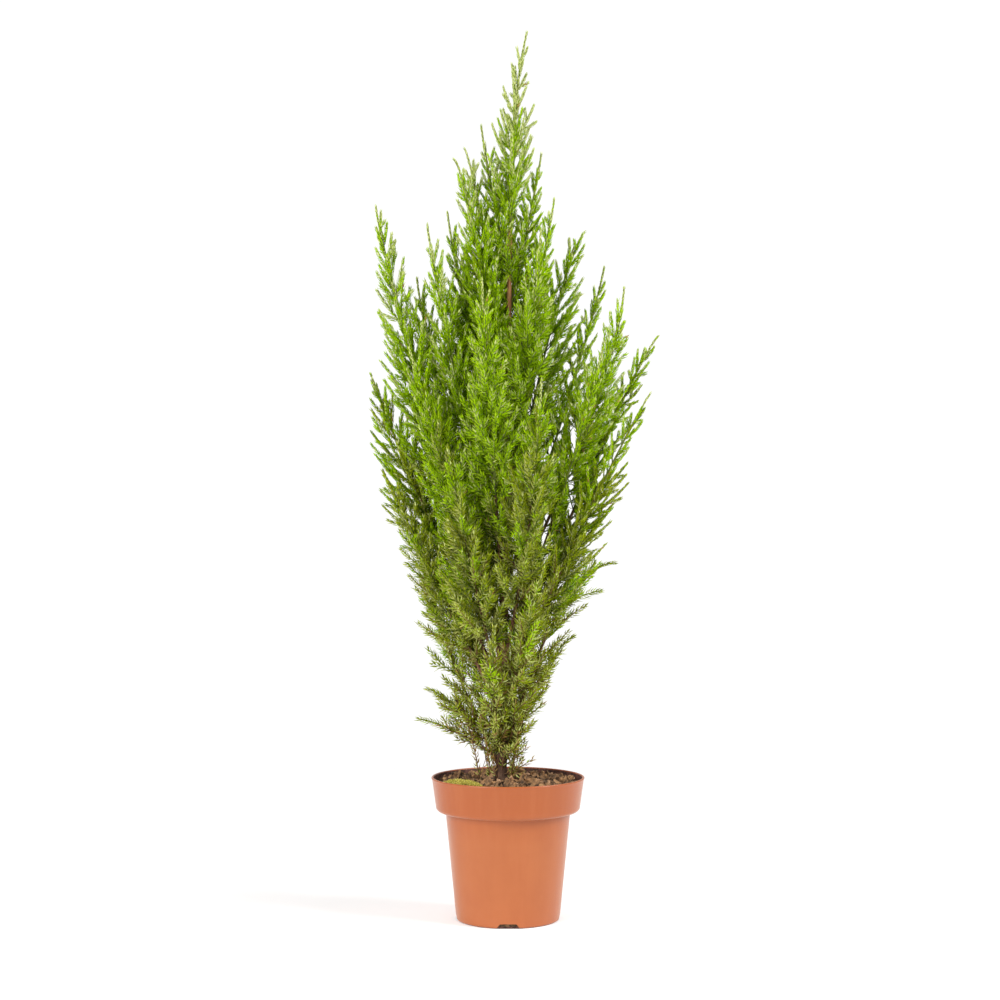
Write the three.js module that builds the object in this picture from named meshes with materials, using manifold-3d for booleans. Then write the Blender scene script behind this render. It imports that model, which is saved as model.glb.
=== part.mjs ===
// A young upright conifer with awl-shaped needles, standing in a round plastic nursery pot.
// Millimetres, +Z up. The origin is the centre of the pot's underside, and the plant's front faces -Y.
import * as THREE from "three";
import { mergeVertices } from "three/addons/utils/BufferGeometryUtils.js";
import Module from "manifold-3d";

const wasm = await Module();
wasm.setup();
const { degToRad } = THREE.MathUtils;

// Driving dimensions of the pot.
const RIM_RADIUS = 85;
const POT_HEIGHT = 159;
const COLLAR_HEIGHT = 38;
const COLLAR_FOOT_RADIUS = 80.5;
const BODY_TOP_RADIUS = 69.5;
const BODY_FOOT_RADIUS = 58;
const WALL = 1.6;
const BASE_THICKNESS = 2.4;
const COLLAR_ROUNDING = 5;
const FOOT_ROUNDING = 3;
const POT_SIDES = 36;
const DRAIN_SLOTS = 4;
const DRAIN_SLOT = { foot: 28, head: 18, height: 5.6, depth: 12 };

// Driving dimensions of the compost and the moss cushion on it.
const SOIL_BELOW_RIM = 8;
const SOIL_MOUND = 3;
const SOIL_BUMP = 1.1;
const MOSS = { x: -48, y: -46, length: 29, width: 11.5, height: 7.5, turn: -40 };

// Driving dimensions of the plant. Heights are above the compost, at the trunk's flat cut.
const TRUNK_OFFSET = -8;
const PLANT_HEIGHT = 836;
const TRUNK_TOP = 615;
const TRUNK_RADIUS = 5.8;
const TRUNK_TAPER = 0.75;
const ROOT_FLARE = { radius: 2.4, height: 11 };
const TRUNK_LEAN = 14;
const TIP_LEAN = { reach: 15, power: 12 };
const TRUNK_SWAY = 4;
const TRUNK_SIDES = 8;
const TRUNK_STEPS = 15;
const TRUNK_RING_CROWDING = 1.4;

// One row per limb: height of its root, azimuth from +X, reach out from the trunk and height of its tip.
// A limb with wood has a bough that carries its foliage; the others spring from the trunk as foliage.
// A bow under 1 sends a limb up first and then outwards.
const LIMBS = [
  { name: "right_foot", root: 16, azimuth: 12, reach: 84, top: 160, bow: 0.7 },
  { name: "right_low", root: 10, azimuth: 350, reach: 128, top: 244, bow: 0.5 },
  { name: "right_mid", root: 66, azimuth: 18, reach: 118, top: 326, bow: 0.9, wood: true },
  { name: "right_flare", root: 84, azimuth: 345, reach: 168, top: 430, bow: 0.94, wood: true },
  { name: "right_outer", root: 108, azimuth: 8, reach: 177, top: 498, bow: 0.88, wood: true },
  { name: "right_tall", root: 190, azimuth: 338, reach: 142, top: 545, bow: 1.4, wood: true },
  { name: "right_inner", root: 262, azimuth: 22, reach: 98, top: 618, bow: 0.75, wood: true },
  { name: "right_top", root: 420, azimuth: 350, reach: 53, top: 648 },
  { name: "right_crown", root: 520, azimuth: 20, reach: 39, top: 702 },
  { name: "right_front", root: 140, azimuth: 322, reach: 136, top: 476 },
  { name: "right_rear", root: 210, azimuth: 34, reach: 140, top: 582 },
  { name: "left_foot", root: 24, azimuth: 182, reach: 92, top: 69, bow: 0.7 },
  { name: "left_low", root: 34, azimuth: 192, reach: 84, top: 104, bow: 0.75 },
  { name: "left_base", root: 10, azimuth: 148, reach: 108, top: 262, bow: 1.5 },
  { name: "left_mid", root: 74, azimuth: 190, reach: 134, top: 346, wood: true },
  { name: "left_flare", root: 98, azimuth: 172, reach: 150, top: 456, wood: true },
  { name: "left_spire", root: 130, azimuth: 186, reach: 142, top: 640, bow: 1.15, wood: true },
  { name: "left_inner", root: 322, azimuth: 164, reach: 68, top: 637, wood: true },
  { name: "left_top", root: 430, azimuth: 194, reach: 49, top: 704, bow: 0.75 },
  { name: "left_crown", root: 560, azimuth: 168, reach: 32, top: 732 },
  { name: "left_front", root: 150, azimuth: 216, reach: 126, top: 478 },
  { name: "left_tall", root: 205, azimuth: 200, reach: 90, top: 617 },
  { name: "left_rear", root: 170, azimuth: 158, reach: 106, top: 566 },
  { name: "front_foot", root: 28, azimuth: 264, reach: 74, top: 176 },
  { name: "front_low", root: 58, azimuth: 298, reach: 98, top: 240 },
  { name: "front_mid", root: 90, azimuth: 240, reach: 116, top: 366, wood: true },
  { name: "front_flare", root: 120, azimuth: 288, reach: 132, top: 440, wood: true },
  { name: "front_tall", root: 178, azimuth: 258, reach: 112, top: 548, wood: true },
  { name: "front_inner", root: 280, azimuth: 296, reach: 88, top: 606, wood: true },
  { name: "front_top", root: 392, azimuth: 212, reach: 68, top: 688, bow: 0.7 },
  { name: "back_foot", root: 30, azimuth: 72, reach: 78, top: 182 },
  { name: "back_low", root: 62, azimuth: 124, reach: 102, top: 236 },
  { name: "back_mid", root: 94, azimuth: 58, reach: 120, top: 380, wood: true },
  { name: "back_flare", root: 126, azimuth: 106, reach: 134, top: 452, wood: true },
  { name: "back_tall", root: 184, azimuth: 76, reach: 116, top: 562, wood: true },
  { name: "back_inner", root: 280, azimuth: 120, reach: 90, top: 610, wood: true },
  { name: "back_top", root: 400, azimuth: 84, reach: 58, top: 670 },
];
const LEADER_REACH = 40;
const WOOD_SHARE = 0.2;
const SWIRL = 16;
const BOW = { least: 0.85, most: 1.15, start: 0.75, perSlope: 0.12 };
const BOUGH_ROOT_RADIUS = 3.2;
const STEM_RADIUS = 2;
const STEM_TIP_RADIUS = 0.8;

// The shoots of a limb: one every pitch along its stem, turned round it by the golden angle. The solid draws
// one in every few, so that a spray stands for its neighbours too.
const SHOOT_PITCH = 8;
const FIRST_DRAWN = 2;
const DRAWN_EVERY = 4;
const GOLDEN_ANGLE = 137.508;
const SHOOT_JITTER = 40;
const SHOOT_ANGLE = { foot: 50, tip: 20 };
const SHOOT_LENGTH = 90;
const SHOOT_STEM_SHARE = 0.3;
const SHOOT_TIP_SHARE = 0.25;
const SHOOT_TAPER = 0.6;
const SHOOT_SPREAD = { least: 0.8, range: 0.35 };
const SHOOT_UPTURN = 0.5;
const SHORTEST_SHOOT = 31;
const LAST_SHOOT_SHARE = 0.85;

// A spray: a slim three-sided core with a needle raised on each of its facets, larger than life.
const SPRAY = { root: 0.8, core: 1.5, twist: 38 };
const NEEDLE = { pitch: 29, out: 20, forward: 25, tipShare: 0.5, leastShare: 0.25 };
const NEEDLE_SPREAD = { least: 0.8, range: 0.4 };

// How far a mass stands out from its limb: a share of the limb's length at its foot, tapering to its tip.
const PLUME = { footShare: 0.32, tip: 9 };

// Clearances between separate pieces.
const GAP = 0.3;
const CELL_MARGIN = 1;
const LIMB_MARGIN = 5;

const material = (color, roughness) => new THREE.MeshStandardMaterial({ color, roughness, metalness: 0 });
const terracotta = material(0xc97b4f, 0.42);
const compost = material(0x4a3826, 0.95);
const mossGreen = material(0x9aa03c, 0.95);
const bark = material(0x6b5138, 0.9);
const lowGreen = material(0x53641c, 0.7);
const midGreen = material(0x5f8a1c, 0.65);
const topGreen = material(0x86a838, 0.62);

// Joins and cuts.

function solidOf(geometry) {
  const bare = new THREE.BufferGeometry();
  bare.setAttribute("position", geometry.getAttribute("position").clone());
  if (geometry.index) bare.setIndex(geometry.index);
  const merged = mergeVertices(bare, 1e-4);
  const vertProperties = merged.attributes.position.array;
  const triVerts = new Uint32Array(merged.index.array);
  return new wasm.Manifold(new wasm.Mesh({ numProp: 3, vertProperties, triVerts }));
}

function geometryOf(solid) {
  const mesh = solid.getMesh();
  const geometry = new THREE.BufferGeometry();
  geometry.setAttribute("position", new THREE.BufferAttribute(new Float32Array(mesh.vertProperties), 3));
  geometry.setIndex(new THREE.BufferAttribute(new Uint32Array(mesh.triVerts), 1));
  geometry.computeVertexNormals();
  return geometry;
}

// The largest body of a cut solid, without the scraps that a cut leaves beside it.
function largestBody(solid) {
  return solid.decompose().reduce((best, body) => (body.volume() > best.volume() ? body : best));
}

function addMesh(group, name, geometry, finish, place = new THREE.Vector3()) {
  const mesh = new THREE.Mesh(geometry, finish);
  mesh.name = name;
  mesh.position.copy(place);
  group.add(mesh);
  return mesh;
}

// Pot: a lathe-turned shell with a deep collar, and drain slots through the foot of its wall.

function arcPoints(cx, cy, radius, fromDeg, toDeg, steps) {
  const points = [];
  for (let i = 0; i <= steps; i += 1) {
    const turn = degToRad(fromDeg + ((toDeg - fromDeg) * i) / steps);
    points.push(new THREE.Vector2(cx + radius * Math.cos(turn), cy + radius * Math.sin(turn)));
  }
  return points;
}

const COLLAR_FOOT = POT_HEIGHT - COLLAR_HEIGHT;
const collarInnerRadius = (z) =>
  THREE.MathUtils.mapLinear(z, COLLAR_FOOT, POT_HEIGHT, COLLAR_FOOT_RADIUS, RIM_RADIUS) - WALL;
const bodyInnerRadius = (z) =>
  THREE.MathUtils.mapLinear(z, 0, COLLAR_FOOT, BODY_FOOT_RADIUS, BODY_TOP_RADIUS) - WALL;

// The inside of the pot from its floor to height top, a gap clear of the wall, as lathe points.
function insideProfile(top, gap) {
  const floor = BASE_THICKNESS + gap;
  const ledge = COLLAR_FOOT + WALL + gap;
  return [
    new THREE.Vector2(0, floor),
    new THREE.Vector2(bodyInnerRadius(floor) - gap, floor),
    new THREE.Vector2(bodyInnerRadius(COLLAR_FOOT) - gap, ledge),
    new THREE.Vector2(collarInnerRadius(ledge) - gap, ledge),
    new THREE.Vector2(collarInnerRadius(top) - gap, top),
  ];
}

function potGeometry() {
  const collarArc = { x: COLLAR_FOOT_RADIUS - COLLAR_ROUNDING, y: COLLAR_FOOT + COLLAR_ROUNDING };
  const outside = [
    ...arcPoints(BODY_FOOT_RADIUS - FOOT_ROUNDING, FOOT_ROUNDING, FOOT_ROUNDING, -90, 0, 2),
    new THREE.Vector2(BODY_TOP_RADIUS, COLLAR_FOOT),
    ...arcPoints(collarArc.x, collarArc.y, COLLAR_ROUNDING, -90, 0, 3),
    ...arcPoints(RIM_RADIUS - WALL / 2, POT_HEIGHT - WALL / 2, WALL / 2, 0, 180, 3),
  ];
  const inside = insideProfile(POT_HEIGHT - WALL / 2, 0).reverse().slice(1);
  const profile = [new THREE.Vector2(0, 0), ...outside, ...inside];
  const shell = new THREE.LatheGeometry(profile, POT_SIDES).rotateX(Math.PI / 2);
  let solid = solidOf(shell);
  for (let i = 0; i < DRAIN_SLOTS; i += 1) {
    const turn = (2 * Math.PI * i) / DRAIN_SLOTS - Math.PI / 2;
    solid = solid.subtract(drainSlot(turn));
  }
  return geometryOf(solid);
}

// The tapered gap that one drain slot cuts through the foot of the wall, at the given turn round the pot.
function drainSlot(turn) {
  const { foot, head, height, depth } = DRAIN_SLOT;
  const outline = new THREE.Shape([
    new THREE.Vector2(-foot / 2, -1),
    new THREE.Vector2(foot / 2, -1),
    new THREE.Vector2(head / 2, height),
    new THREE.Vector2(-head / 2, height),
  ]);
  const block = new THREE.ExtrudeGeometry(outline, { depth, bevelEnabled: false });
  block.rotateX(Math.PI / 2).rotateZ(Math.PI / 2);
  block.translate(BODY_FOOT_RADIUS - depth / 2 + 2, 0, 0).rotateZ(turn);
  return solidOf(block);
}

// Compost: fills the pot to just under the rim, mounded a little towards the trunk and level under it.

const SOIL_EDGE = POT_HEIGHT - SOIL_BELOW_RIM;
const SOIL_TOP = SOIL_EDGE + SOIL_MOUND;
const TRUNK_SEAT = 16;

function soilLevel(x, y) {
  const fromTrunk = Math.hypot(x - TRUNK_OFFSET, y);
  const share = THREE.MathUtils.smoothstep(fromTrunk, TRUNK_SEAT, RIM_RADIUS);
  const bumps = Math.sin(0.19 * x + 1.3) * Math.sin(0.23 * y - 0.4) + 0.6 * Math.sin(0.41 * x - 0.37 * y);
  return SOIL_TOP - SOIL_MOUND * share + SOIL_BUMP * bumps * Math.min(1, 3 * share);
}

function soilGeometry() {
  const edge = collarInnerRadius(SOIL_EDGE) - GAP;
  const topRings = [0.8, 0.55, 0.3, 0];
  const profile = [
    ...insideProfile(SOIL_EDGE, GAP),
    ...topRings.map((share) => new THREE.Vector2(edge * share, SOIL_TOP)),
  ];
  const geometry = new THREE.LatheGeometry(profile, POT_SIDES).rotateX(Math.PI / 2);
  const position = geometry.getAttribute("position");
  for (let i = 0; i < position.count; i += 1) {
    if (position.getZ(i) > SOIL_EDGE + 0.01) {
      position.setZ(i, soilLevel(position.getX(i), position.getY(i)));
    }
  }
  return geometryOf(solidOf(geometry));
}

// Moss: a low cushion on the compost, its underside cut to the compost's own surface.

function mossGeometry(soil) {
  const cushion = new THREE.SphereGeometry(1, 12, 6);
  cushion.rotateX(Math.PI / 2).scale(MOSS.length, MOSS.width, 2 * MOSS.height).rotateZ(degToRad(MOSS.turn));
  cushion.translate(MOSS.x, MOSS.y, soilLevel(MOSS.x, MOSS.y) - MOSS.height);
  const raisedSoil = solidOf(soil).translate([0, 0, GAP]);
  return geometryOf(largestBody(solidOf(cushion).subtract(raisedSoil)));
}

// Trunk and limbs, in the plant's own frame: the origin is the middle of the trunk's flat cut.

function trunkPoint(height) {
  const t = height / PLANT_HEIGHT;
  const x = TRUNK_LEAN * t + TIP_LEAN.reach * t ** TIP_LEAN.power;
  return new THREE.Vector3(x, TRUNK_SWAY * Math.sin(2 * Math.PI * t), height);
}

function trunkRadius(height) {
  const flare = ROOT_FLARE.radius * Math.exp(-height / ROOT_FLARE.height);
  return TRUNK_RADIUS * (1 - height / PLANT_HEIGHT) ** TRUNK_TAPER + flare;
}

// A repeatable number from 0 to 1 for the given limb and shoot.
function vary(limbNumber, index) {
  const wave = Math.sin(limbNumber * 127.1 + index * 311.7) * 43758.5453;
  return wave - Math.floor(wave);
}

// The point at share t along a limb, from the trunk's axis to the limb's tip.
function limbPoint(limb, t) {
  const slope = (limb.top - limb.root) / limb.reach;
  const bow = limb.bow ?? THREE.MathUtils.clamp(BOW.start + BOW.perSlope * slope, BOW.least, BOW.most);
  const spread = limb.reach * (1 - (1 - t) ** bow);
  const swirl = SWIRL * (2 * vary(limb.number, 0) - 1);
  const turn = degToRad(limb.azimuth + swirl * (t - 1));
  const rise = (limb.top - limb.root) * t;
  const outward = new THREE.Vector3(Math.cos(turn), Math.sin(turn), 0);
  return trunkPoint(limb.root).addScaledVector(outward, spread).setZ(limb.root + rise);
}

class LimbCurve extends THREE.Curve {
  constructor(pointAt, from, to) {
    super();
    Object.assign(this, { pointAt, from, to });
  }

  getPoint(t) {
    return this.pointAt(THREE.MathUtils.lerp(this.from, this.to, t));
  }
}

// A closed tapering rod along a curve: a cylinder whose rings are carried along it.
function rod(curve, radiusAt, sides, steps) {
  const geometry = new THREE.CylinderGeometry(1, 1, 1, sides, steps).rotateX(Math.PI / 2);
  const frames = curve.computeFrenetFrames(steps);
  const position = geometry.getAttribute("position");
  for (let i = 0; i < position.count; i += 1) {
    const ring = Math.round((position.getZ(i) + 0.5) * steps);
    const share = ring / steps;
    const radius = radiusAt(share);
    const point = curve.getPointAt(share);
    point.addScaledVector(frames.normals[ring], radius * position.getX(i));
    point.addScaledVector(frames.binormals[ring], radius * position.getY(i));
    position.setXYZ(i, point.x, point.y, point.z);
  }
  return geometry;
}

// The trunk grown by a gap: as a piece with gap 0, and as the cutter that keeps the limbs clear of it.
// Its rings lie level, so the cut at the compost and the top are flat.
function trunkSolid(gap) {
  const geometry = new THREE.CylinderGeometry(1, 1, 1, TRUNK_SIDES, TRUNK_STEPS).rotateX(Math.PI / 2);
  const position = geometry.getAttribute("position");
  for (let i = 0; i < position.count; i += 1) {
    const share = (position.getZ(i) + 0.5) ** TRUNK_RING_CROWDING;
    const height = THREE.MathUtils.lerp(0, TRUNK_TOP, share);
    const radius = trunkRadius(height) + gap;
    const corner = trunkPoint(height);
    corner.x += radius * position.getX(i);
    corner.y += radius * position.getY(i);
    if (share === 0) corner.z -= gap;
    if (share === 1) corner.z += gap;
    position.setXYZ(i, corner.x, corner.y, corner.z);
  }
  return solidOf(geometry);
}

// Foliage: a stem with sprays round it, all inside the space that belongs to its limb.

function axisSamples(pointAt) {
  return Array.from({ length: 25 }, (_, i) => pointAt(i / 24));
}

function nearestOnAxis(point, axis) {
  const segment = new THREE.Line3();
  const onSegment = new THREE.Vector3();
  let nearest = { distance: Infinity, share: 0 };
  for (let i = 1; i < axis.length; i += 1) {
    const part = segment.set(axis[i - 1], axis[i]).closestPointToPointParameter(point, true);
    const distance = segment.at(part, onSegment).distanceTo(point);
    if (distance < nearest.distance) nearest = { distance, share: (i - 1 + part) / (axis.length - 1) };
  }
  return nearest;
}

// A mass tapers to its limb's tip, reaches no further out than that tip, and keeps nearer to its own limb
// than to any other.
function inOwnSpace(point, limb, limbs) {
  const foot = trunkPoint(limb.root);
  if (Math.hypot(point.x - foot.x, point.y - foot.y) > limb.reach) return false;
  if (point.z < 1 || point.z > PLANT_HEIGHT) return false;
  const own = nearestOnAxis(point, limb.axis);
  const halfWidth = THREE.MathUtils.lerp(PLUME.footShare * limb.length, PLUME.tip, own.share);
  if (own.distance > halfWidth) return false;
  const level = Math.min(point.z, TRUNK_TOP);
  if (point.distanceTo(trunkPoint(level)) < trunkRadius(level) + CELL_MARGIN) return false;
  return limbs.every((other) => {
    if (other === limb) return true;
    const far = nearestOnAxis(point, other.axis).distance;
    return far > own.distance + CELL_MARGIN && far > LIMB_MARGIN;
  });
}

// A spray of needles along a curve. Each facet of a three-sided core is raised to a point, as one needle.
// A needle is shortened until its point keeps to the limb's own space; without room the facet stays flat.
function sprayGeometry(curve, radiusAt, limb, limbs) {
  const rows = Math.max(2, Math.round(curve.getLength() / NEEDLE.pitch));
  const frames = curve.computeFrenetFrames(rows);
  const offset = (ring, side) => {
    const turn = degToRad(120 * side + SPRAY.twist * ring);
    const across = frames.normals[ring].clone().multiplyScalar(Math.cos(turn));
    return across.addScaledVector(frames.binormals[ring], Math.sin(turn));
  };
  const core = (ring, side) => {
    const radius = ring === rows ? 0 : radiusAt(ring / rows);
    return curve.getPointAt(ring / rows).addScaledVector(offset(ring, side % 3), radius);
  };
  const corners = [core(0, 2), core(0, 1), core(0, 0)];
  for (let row = 0; row < rows; row += 1) {
    for (let side = 0; side < 3; side += 1) {
      const facet = [core(row, side), core(row, side + 1), core(row + 1, side + 1)];
      if (row < rows - 1) facet.push(core(row + 1, side));
      const chance = NEEDLE_SPREAD.least + NEEDLE_SPREAD.range * vary(limb.number, row + 0.3 * side);
      const size = THREE.MathUtils.lerp(1, NEEDLE.tipShare, row / rows) * chance;
      const needle = offset(row, side + 0.5).multiplyScalar(NEEDLE.out * size);
      needle.addScaledVector(frames.tangents[row], NEEDLE.forward * size);
      corners.push(...raisedFacet(facet, needle, limb, limbs));
    }
  }
  return new THREE.BufferGeometry().setFromPoints(corners);
}

// The triangles of one facet, raised from its middle by as much of the needle as there is room for.
function raisedFacet(facet, needle, limb, limbs) {
  const middle = new THREE.Vector3();
  facet.forEach((corner) => middle.addScaledVector(corner, 1 / facet.length));
  for (let share = 1; share > NEEDLE.leastShare; share -= 0.15) {
    const point = middle.clone().addScaledVector(needle, share);
    if (inOwnSpace(point, limb, limbs)) {
      return facet.flatMap((corner, i) => [corner, facet[(i + 1) % facet.length], point]);
    }
  }
  return facet.slice(2).flatMap((corner, i) => [facet[0], facet[i + 1], corner]);
}

// The curve of shoot number index on a limb: it leaves the stem at an angle and turns up towards the light.
function shootCurve(limb, index, stemLength, shorten) {
  const u = (index * SHOOT_PITCH) / stemLength;
  const stem = limb.stem;
  const start = stem.getPointAt(u);
  const tangent = stem.getTangentAt(u);
  const outward = new THREE.Vector3(Math.cos(degToRad(limb.azimuth)), Math.sin(degToRad(limb.azimuth)), 0);
  const e1 = outward.addScaledVector(tangent, -outward.dot(tangent)).normalize();
  const e2 = new THREE.Vector3().crossVectors(tangent, e1);
  const angle = degToRad(THREE.MathUtils.lerp(SHOOT_ANGLE.foot, SHOOT_ANGLE.tip, u));
  const round = degToRad(GOLDEN_ANGLE * index + SHOOT_JITTER * vary(limb.number, index));
  const side = e1.multiplyScalar(Math.cos(round)).addScaledVector(e2, Math.sin(round));
  const leave = tangent.clone().multiplyScalar(Math.cos(angle)).addScaledVector(side, Math.sin(angle));
  const most = Math.min(SHOOT_LENGTH, SHOOT_STEM_SHARE * stemLength);
  const full = most * (SHOOT_TIP_SHARE + (1 - SHOOT_TIP_SHARE) * (1 - u) ** SHOOT_TAPER);
  const chance = SHOOT_SPREAD.least + SHOOT_SPREAD.range * vary(limb.number, index + 0.5);
  const length = full * chance * shorten;
  const middle = start.clone().addScaledVector(leave, length / 2);
  const upward = leave.clone().add(new THREE.Vector3(0, 0, SHOOT_UPTURN)).normalize();
  const end = middle.clone().addScaledVector(upward, length / 2);
  return { curve: new THREE.QuadraticBezierCurve3(start, middle, end), length };
}

// The spray on shoot number index, shortened until it keeps to its own space, or nothing without room.
function shootSolid(limb, limbs, index, stemLength) {
  for (let shorten = 1; shorten > 0.3; shorten *= 0.85) {
    const { curve, length } = shootCurve(limb, index, stemLength, shorten);
    if (length < SHORTEST_SHOOT) return null;
    if ([0.4, 0.7, 1].every((share) => inOwnSpace(curve.getPointAt(share), limb, limbs))) {
      return solidOf(sprayGeometry(curve, (u) => (u === 0 ? SPRAY.root : SPRAY.core), limb, limbs));
    }
  }
  return null;
}

function foliageSolid(limb, limbs, trunkCutter) {
  const stemLength = limb.stem.getLength();
  const stemRadius = (u) => THREE.MathUtils.lerp(STEM_RADIUS, STEM_TIP_RADIUS, u);
  const pieces = [solidOf(sprayGeometry(limb.stem, stemRadius, limb, limbs))];
  const lastShoot = (LAST_SHOOT_SHARE * stemLength) / SHOOT_PITCH;
  for (let index = FIRST_DRAWN; index < lastShoot; index += DRAWN_EVERY) {
    const shoot = shootSolid(limb, limbs, index, stemLength);
    if (shoot) pieces.push(shoot);
  }
  return largestBody(wasm.Manifold.union(pieces).subtract(trunkCutter));
}

function boughSolid(limb, trunkCutter) {
  const curve = new LimbCurve((t) => limbPoint(limb, t), 0, WOOD_SHARE);
  const radiusAt = (u) => THREE.MathUtils.lerp(BOUGH_ROOT_RADIUS, STEM_RADIUS, u);
  return largestBody(solidOf(rod(curve, radiusAt, 5, 2)).subtract(trunkCutter));
}

// Gives each limb its number, its axis and the stem that carries its foliage, a gap beyond its bough's end.
function laidOut(limb, number) {
  const made = { ...limb, number: number + 1 };
  const pointAt = (t) => limbPoint(made, t);
  const length = new LimbCurve(pointAt, 0, 1).getLength();
  const from = limb.wood ? WOOD_SHARE + GAP / length : 0;
  return Object.assign(made, { length, axis: axisSamples(pointAt), stem: new LimbCurve(pointAt, from, 1) });
}

function leaderLimb(number) {
  const pointAt = (t) => trunkPoint(THREE.MathUtils.lerp(TRUNK_TOP + GAP, PLANT_HEIGHT, t));
  const stem = new LimbCurve(pointAt, 0, 1);
  const sizes = { azimuth: 0, root: TRUNK_TOP, reach: LEADER_REACH, top: PLANT_HEIGHT };
  return { name: "leader", number, ...sizes, length: stem.getLength(), axis: axisSamples(pointAt), stem };
}

function foliageFinish(limb) {
  if (limb.top < 300) return lowGreen;
  return limb.top < 600 ? midGreen : topGreen;
}

function plantGroup() {
  const plant = new THREE.Group();
  plant.position.set(TRUNK_OFFSET, 0, SOIL_TOP + GAP);
  const trunkCutter = trunkSolid(GAP);
  addMesh(plant, "trunk", geometryOf(trunkSolid(0)), bark);
  const limbs = LIMBS.map(laidOut);
  limbs.push(leaderLimb(limbs.length + 1));
  const addLimbPart = (name, solid, finish, root) => {
    const geometry = geometryOf(solid).translate(-root.x, -root.y, -root.z);
    addMesh(plant, name, geometry, finish, root);
  };
  for (const limb of limbs) {
    const foliage = foliageSolid(limb, limbs, trunkCutter);
    addLimbPart(`foliage_${limb.name}`, foliage, foliageFinish(limb), limb.stem.getPoint(0));
    if (!limb.wood) continue;
    addLimbPart(`bough_${limb.name}`, boughSolid(limb, trunkCutter), bark, limbPoint(limb, 0));
  }
  return plant;
}

const conifer = new THREE.Group();
addMesh(conifer, "pot", potGeometry(), terracotta);
const soil = soilGeometry();
addMesh(conifer, "soil", soil, compost);
addMesh(conifer, "moss", mossGeometry(soil), mossGreen);
conifer.add(plantGroup());

export default conifer;
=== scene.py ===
import math

import bmesh
import bpy
import numpy as np
from mathutils import Matrix, Vector, noise


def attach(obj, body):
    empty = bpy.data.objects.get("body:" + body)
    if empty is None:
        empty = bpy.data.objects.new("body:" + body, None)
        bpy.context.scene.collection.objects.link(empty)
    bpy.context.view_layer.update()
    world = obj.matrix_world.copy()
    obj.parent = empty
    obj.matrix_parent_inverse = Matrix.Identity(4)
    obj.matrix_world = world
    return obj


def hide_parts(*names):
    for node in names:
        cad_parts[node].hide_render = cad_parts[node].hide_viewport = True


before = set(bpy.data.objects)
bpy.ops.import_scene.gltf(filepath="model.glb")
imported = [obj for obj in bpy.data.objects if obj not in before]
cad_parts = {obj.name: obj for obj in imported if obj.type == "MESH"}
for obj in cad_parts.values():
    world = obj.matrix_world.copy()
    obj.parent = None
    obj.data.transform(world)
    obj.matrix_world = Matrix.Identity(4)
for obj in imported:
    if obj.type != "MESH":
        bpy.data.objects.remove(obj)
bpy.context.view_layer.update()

# The studio: a pale seamless floor in a white surround, lit by one large soft light from the front right and
# one from the front left. The camera stands level with the plant's middle, at the photograph's distance.
PICTURE_WIDTH = 1000
FOCAL_LENGTH = 2042
SENSOR_WIDTH = 36.0
EYE = (-0.0089, -2.283, 0.468)
SURROUND_SEEN, SURROUND_LIGHT = 1.04, 0.6
# name, place, width and power of each soft light, all aimed at the middle of the plant
SOFT_LIGHTS = [
    ("key", (2.6, -1.1, 2.2), 1.6, 92.0),
    ("fill", (-2.2, -2.2, 1.6), 2.0, 92.0),
]
LIGHT_AIM = Vector((0.0, 0.0, 0.5))
FLOOR_REACH = 1.3
FLOOR_WHITES = ((0.97, 0.955, 0.953, 1), (0.95, 0.935, 0.933, 1))
# the floor glows a little, painted light that lifts the shadows on it, in full close to the pot and by a
# share of that from a distance on
FLOOR_GLOW = 0.2
GLOW_FULL_TO, GLOW_FADED_FROM, GLOW_FADED_SHARE = 0.08, 0.32, 0.36
RELIEF_FINENESS, RELIEF_STRENGTH = 2.5, 0.5


def feed(node, values):
    """Gives a node's inputs their values, each a constant or another node's output."""
    for key, value in values.items():
        if isinstance(value, bpy.types.NodeSocket):
            node.id_data.links.new(value, node.inputs[key])
        else:
            node.inputs[key].default_value = value


def add_node(tree, kind, values=None, **settings):
    """A shader node of the given kind, with its input values and its own settings."""
    node = tree.nodes.new("ShaderNode" + kind)
    for key, value in settings.items():
        setattr(node, key, value)
    feed(node, values or {})
    return node


def paint(red, green, blue):
    """A colour given as it looks on a screen, 0 to 255, as the light that a shader takes."""
    channels = [value / 255 for value in (red, green, blue)]
    linear = [c / 12.92 if c <= 0.04045 else ((c + 0.055) / 1.055) ** 2.4 for c in channels]
    return (*linear, 1)


def make_mottle():
    """Cloudy patches at any scale, drawn out by a stretch, as a mask from 0 to 1."""
    group = bpy.data.node_groups.new("mottle", "ShaderNodeTree")
    for name, kind in (("Scale", "Float"), ("Stretch", "Vector"), ("Low", "Float"), ("High", "Float")):
        group.interface.new_socket(name, in_out="INPUT", socket_type="NodeSocket" + kind)
    group.interface.new_socket("Mask", in_out="OUTPUT", socket_type="NodeSocketFloat")
    given = group.nodes.new("NodeGroupInput").outputs
    place = add_node(group, "TexCoord").outputs["Object"]
    stretched = add_node(group, "VectorMath", {0: place, 1: given["Stretch"]}, operation="MULTIPLY")
    cloud = add_node(group, "TexNoise", {"Detail": 5.0, "Roughness": 0.6})
    feed(cloud, {"Vector": stretched.outputs[0], "Scale": given["Scale"]})
    mask = add_node(group, "MapRange", interpolation_type="SMOOTHSTEP")
    feed(mask, {"Value": cloud.outputs[0], "From Min": given["Low"], "From Max": given["High"]})
    feed(group.nodes.new("NodeGroupOutput"), {"Mask": mask.outputs["Result"]})
    return group


mottle = make_mottle()


def add_mottle(tree, scale, stretch=(1, 1, 1), low=0.35, high=0.65):
    """The mask of the cloudy patches, placed in a finish with its own values."""
    values = {"Scale": scale, "Stretch": stretch, "Low": low, "High": high}
    return add_node(tree, "Group", values, node_tree=mottle).outputs["Mask"]


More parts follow.
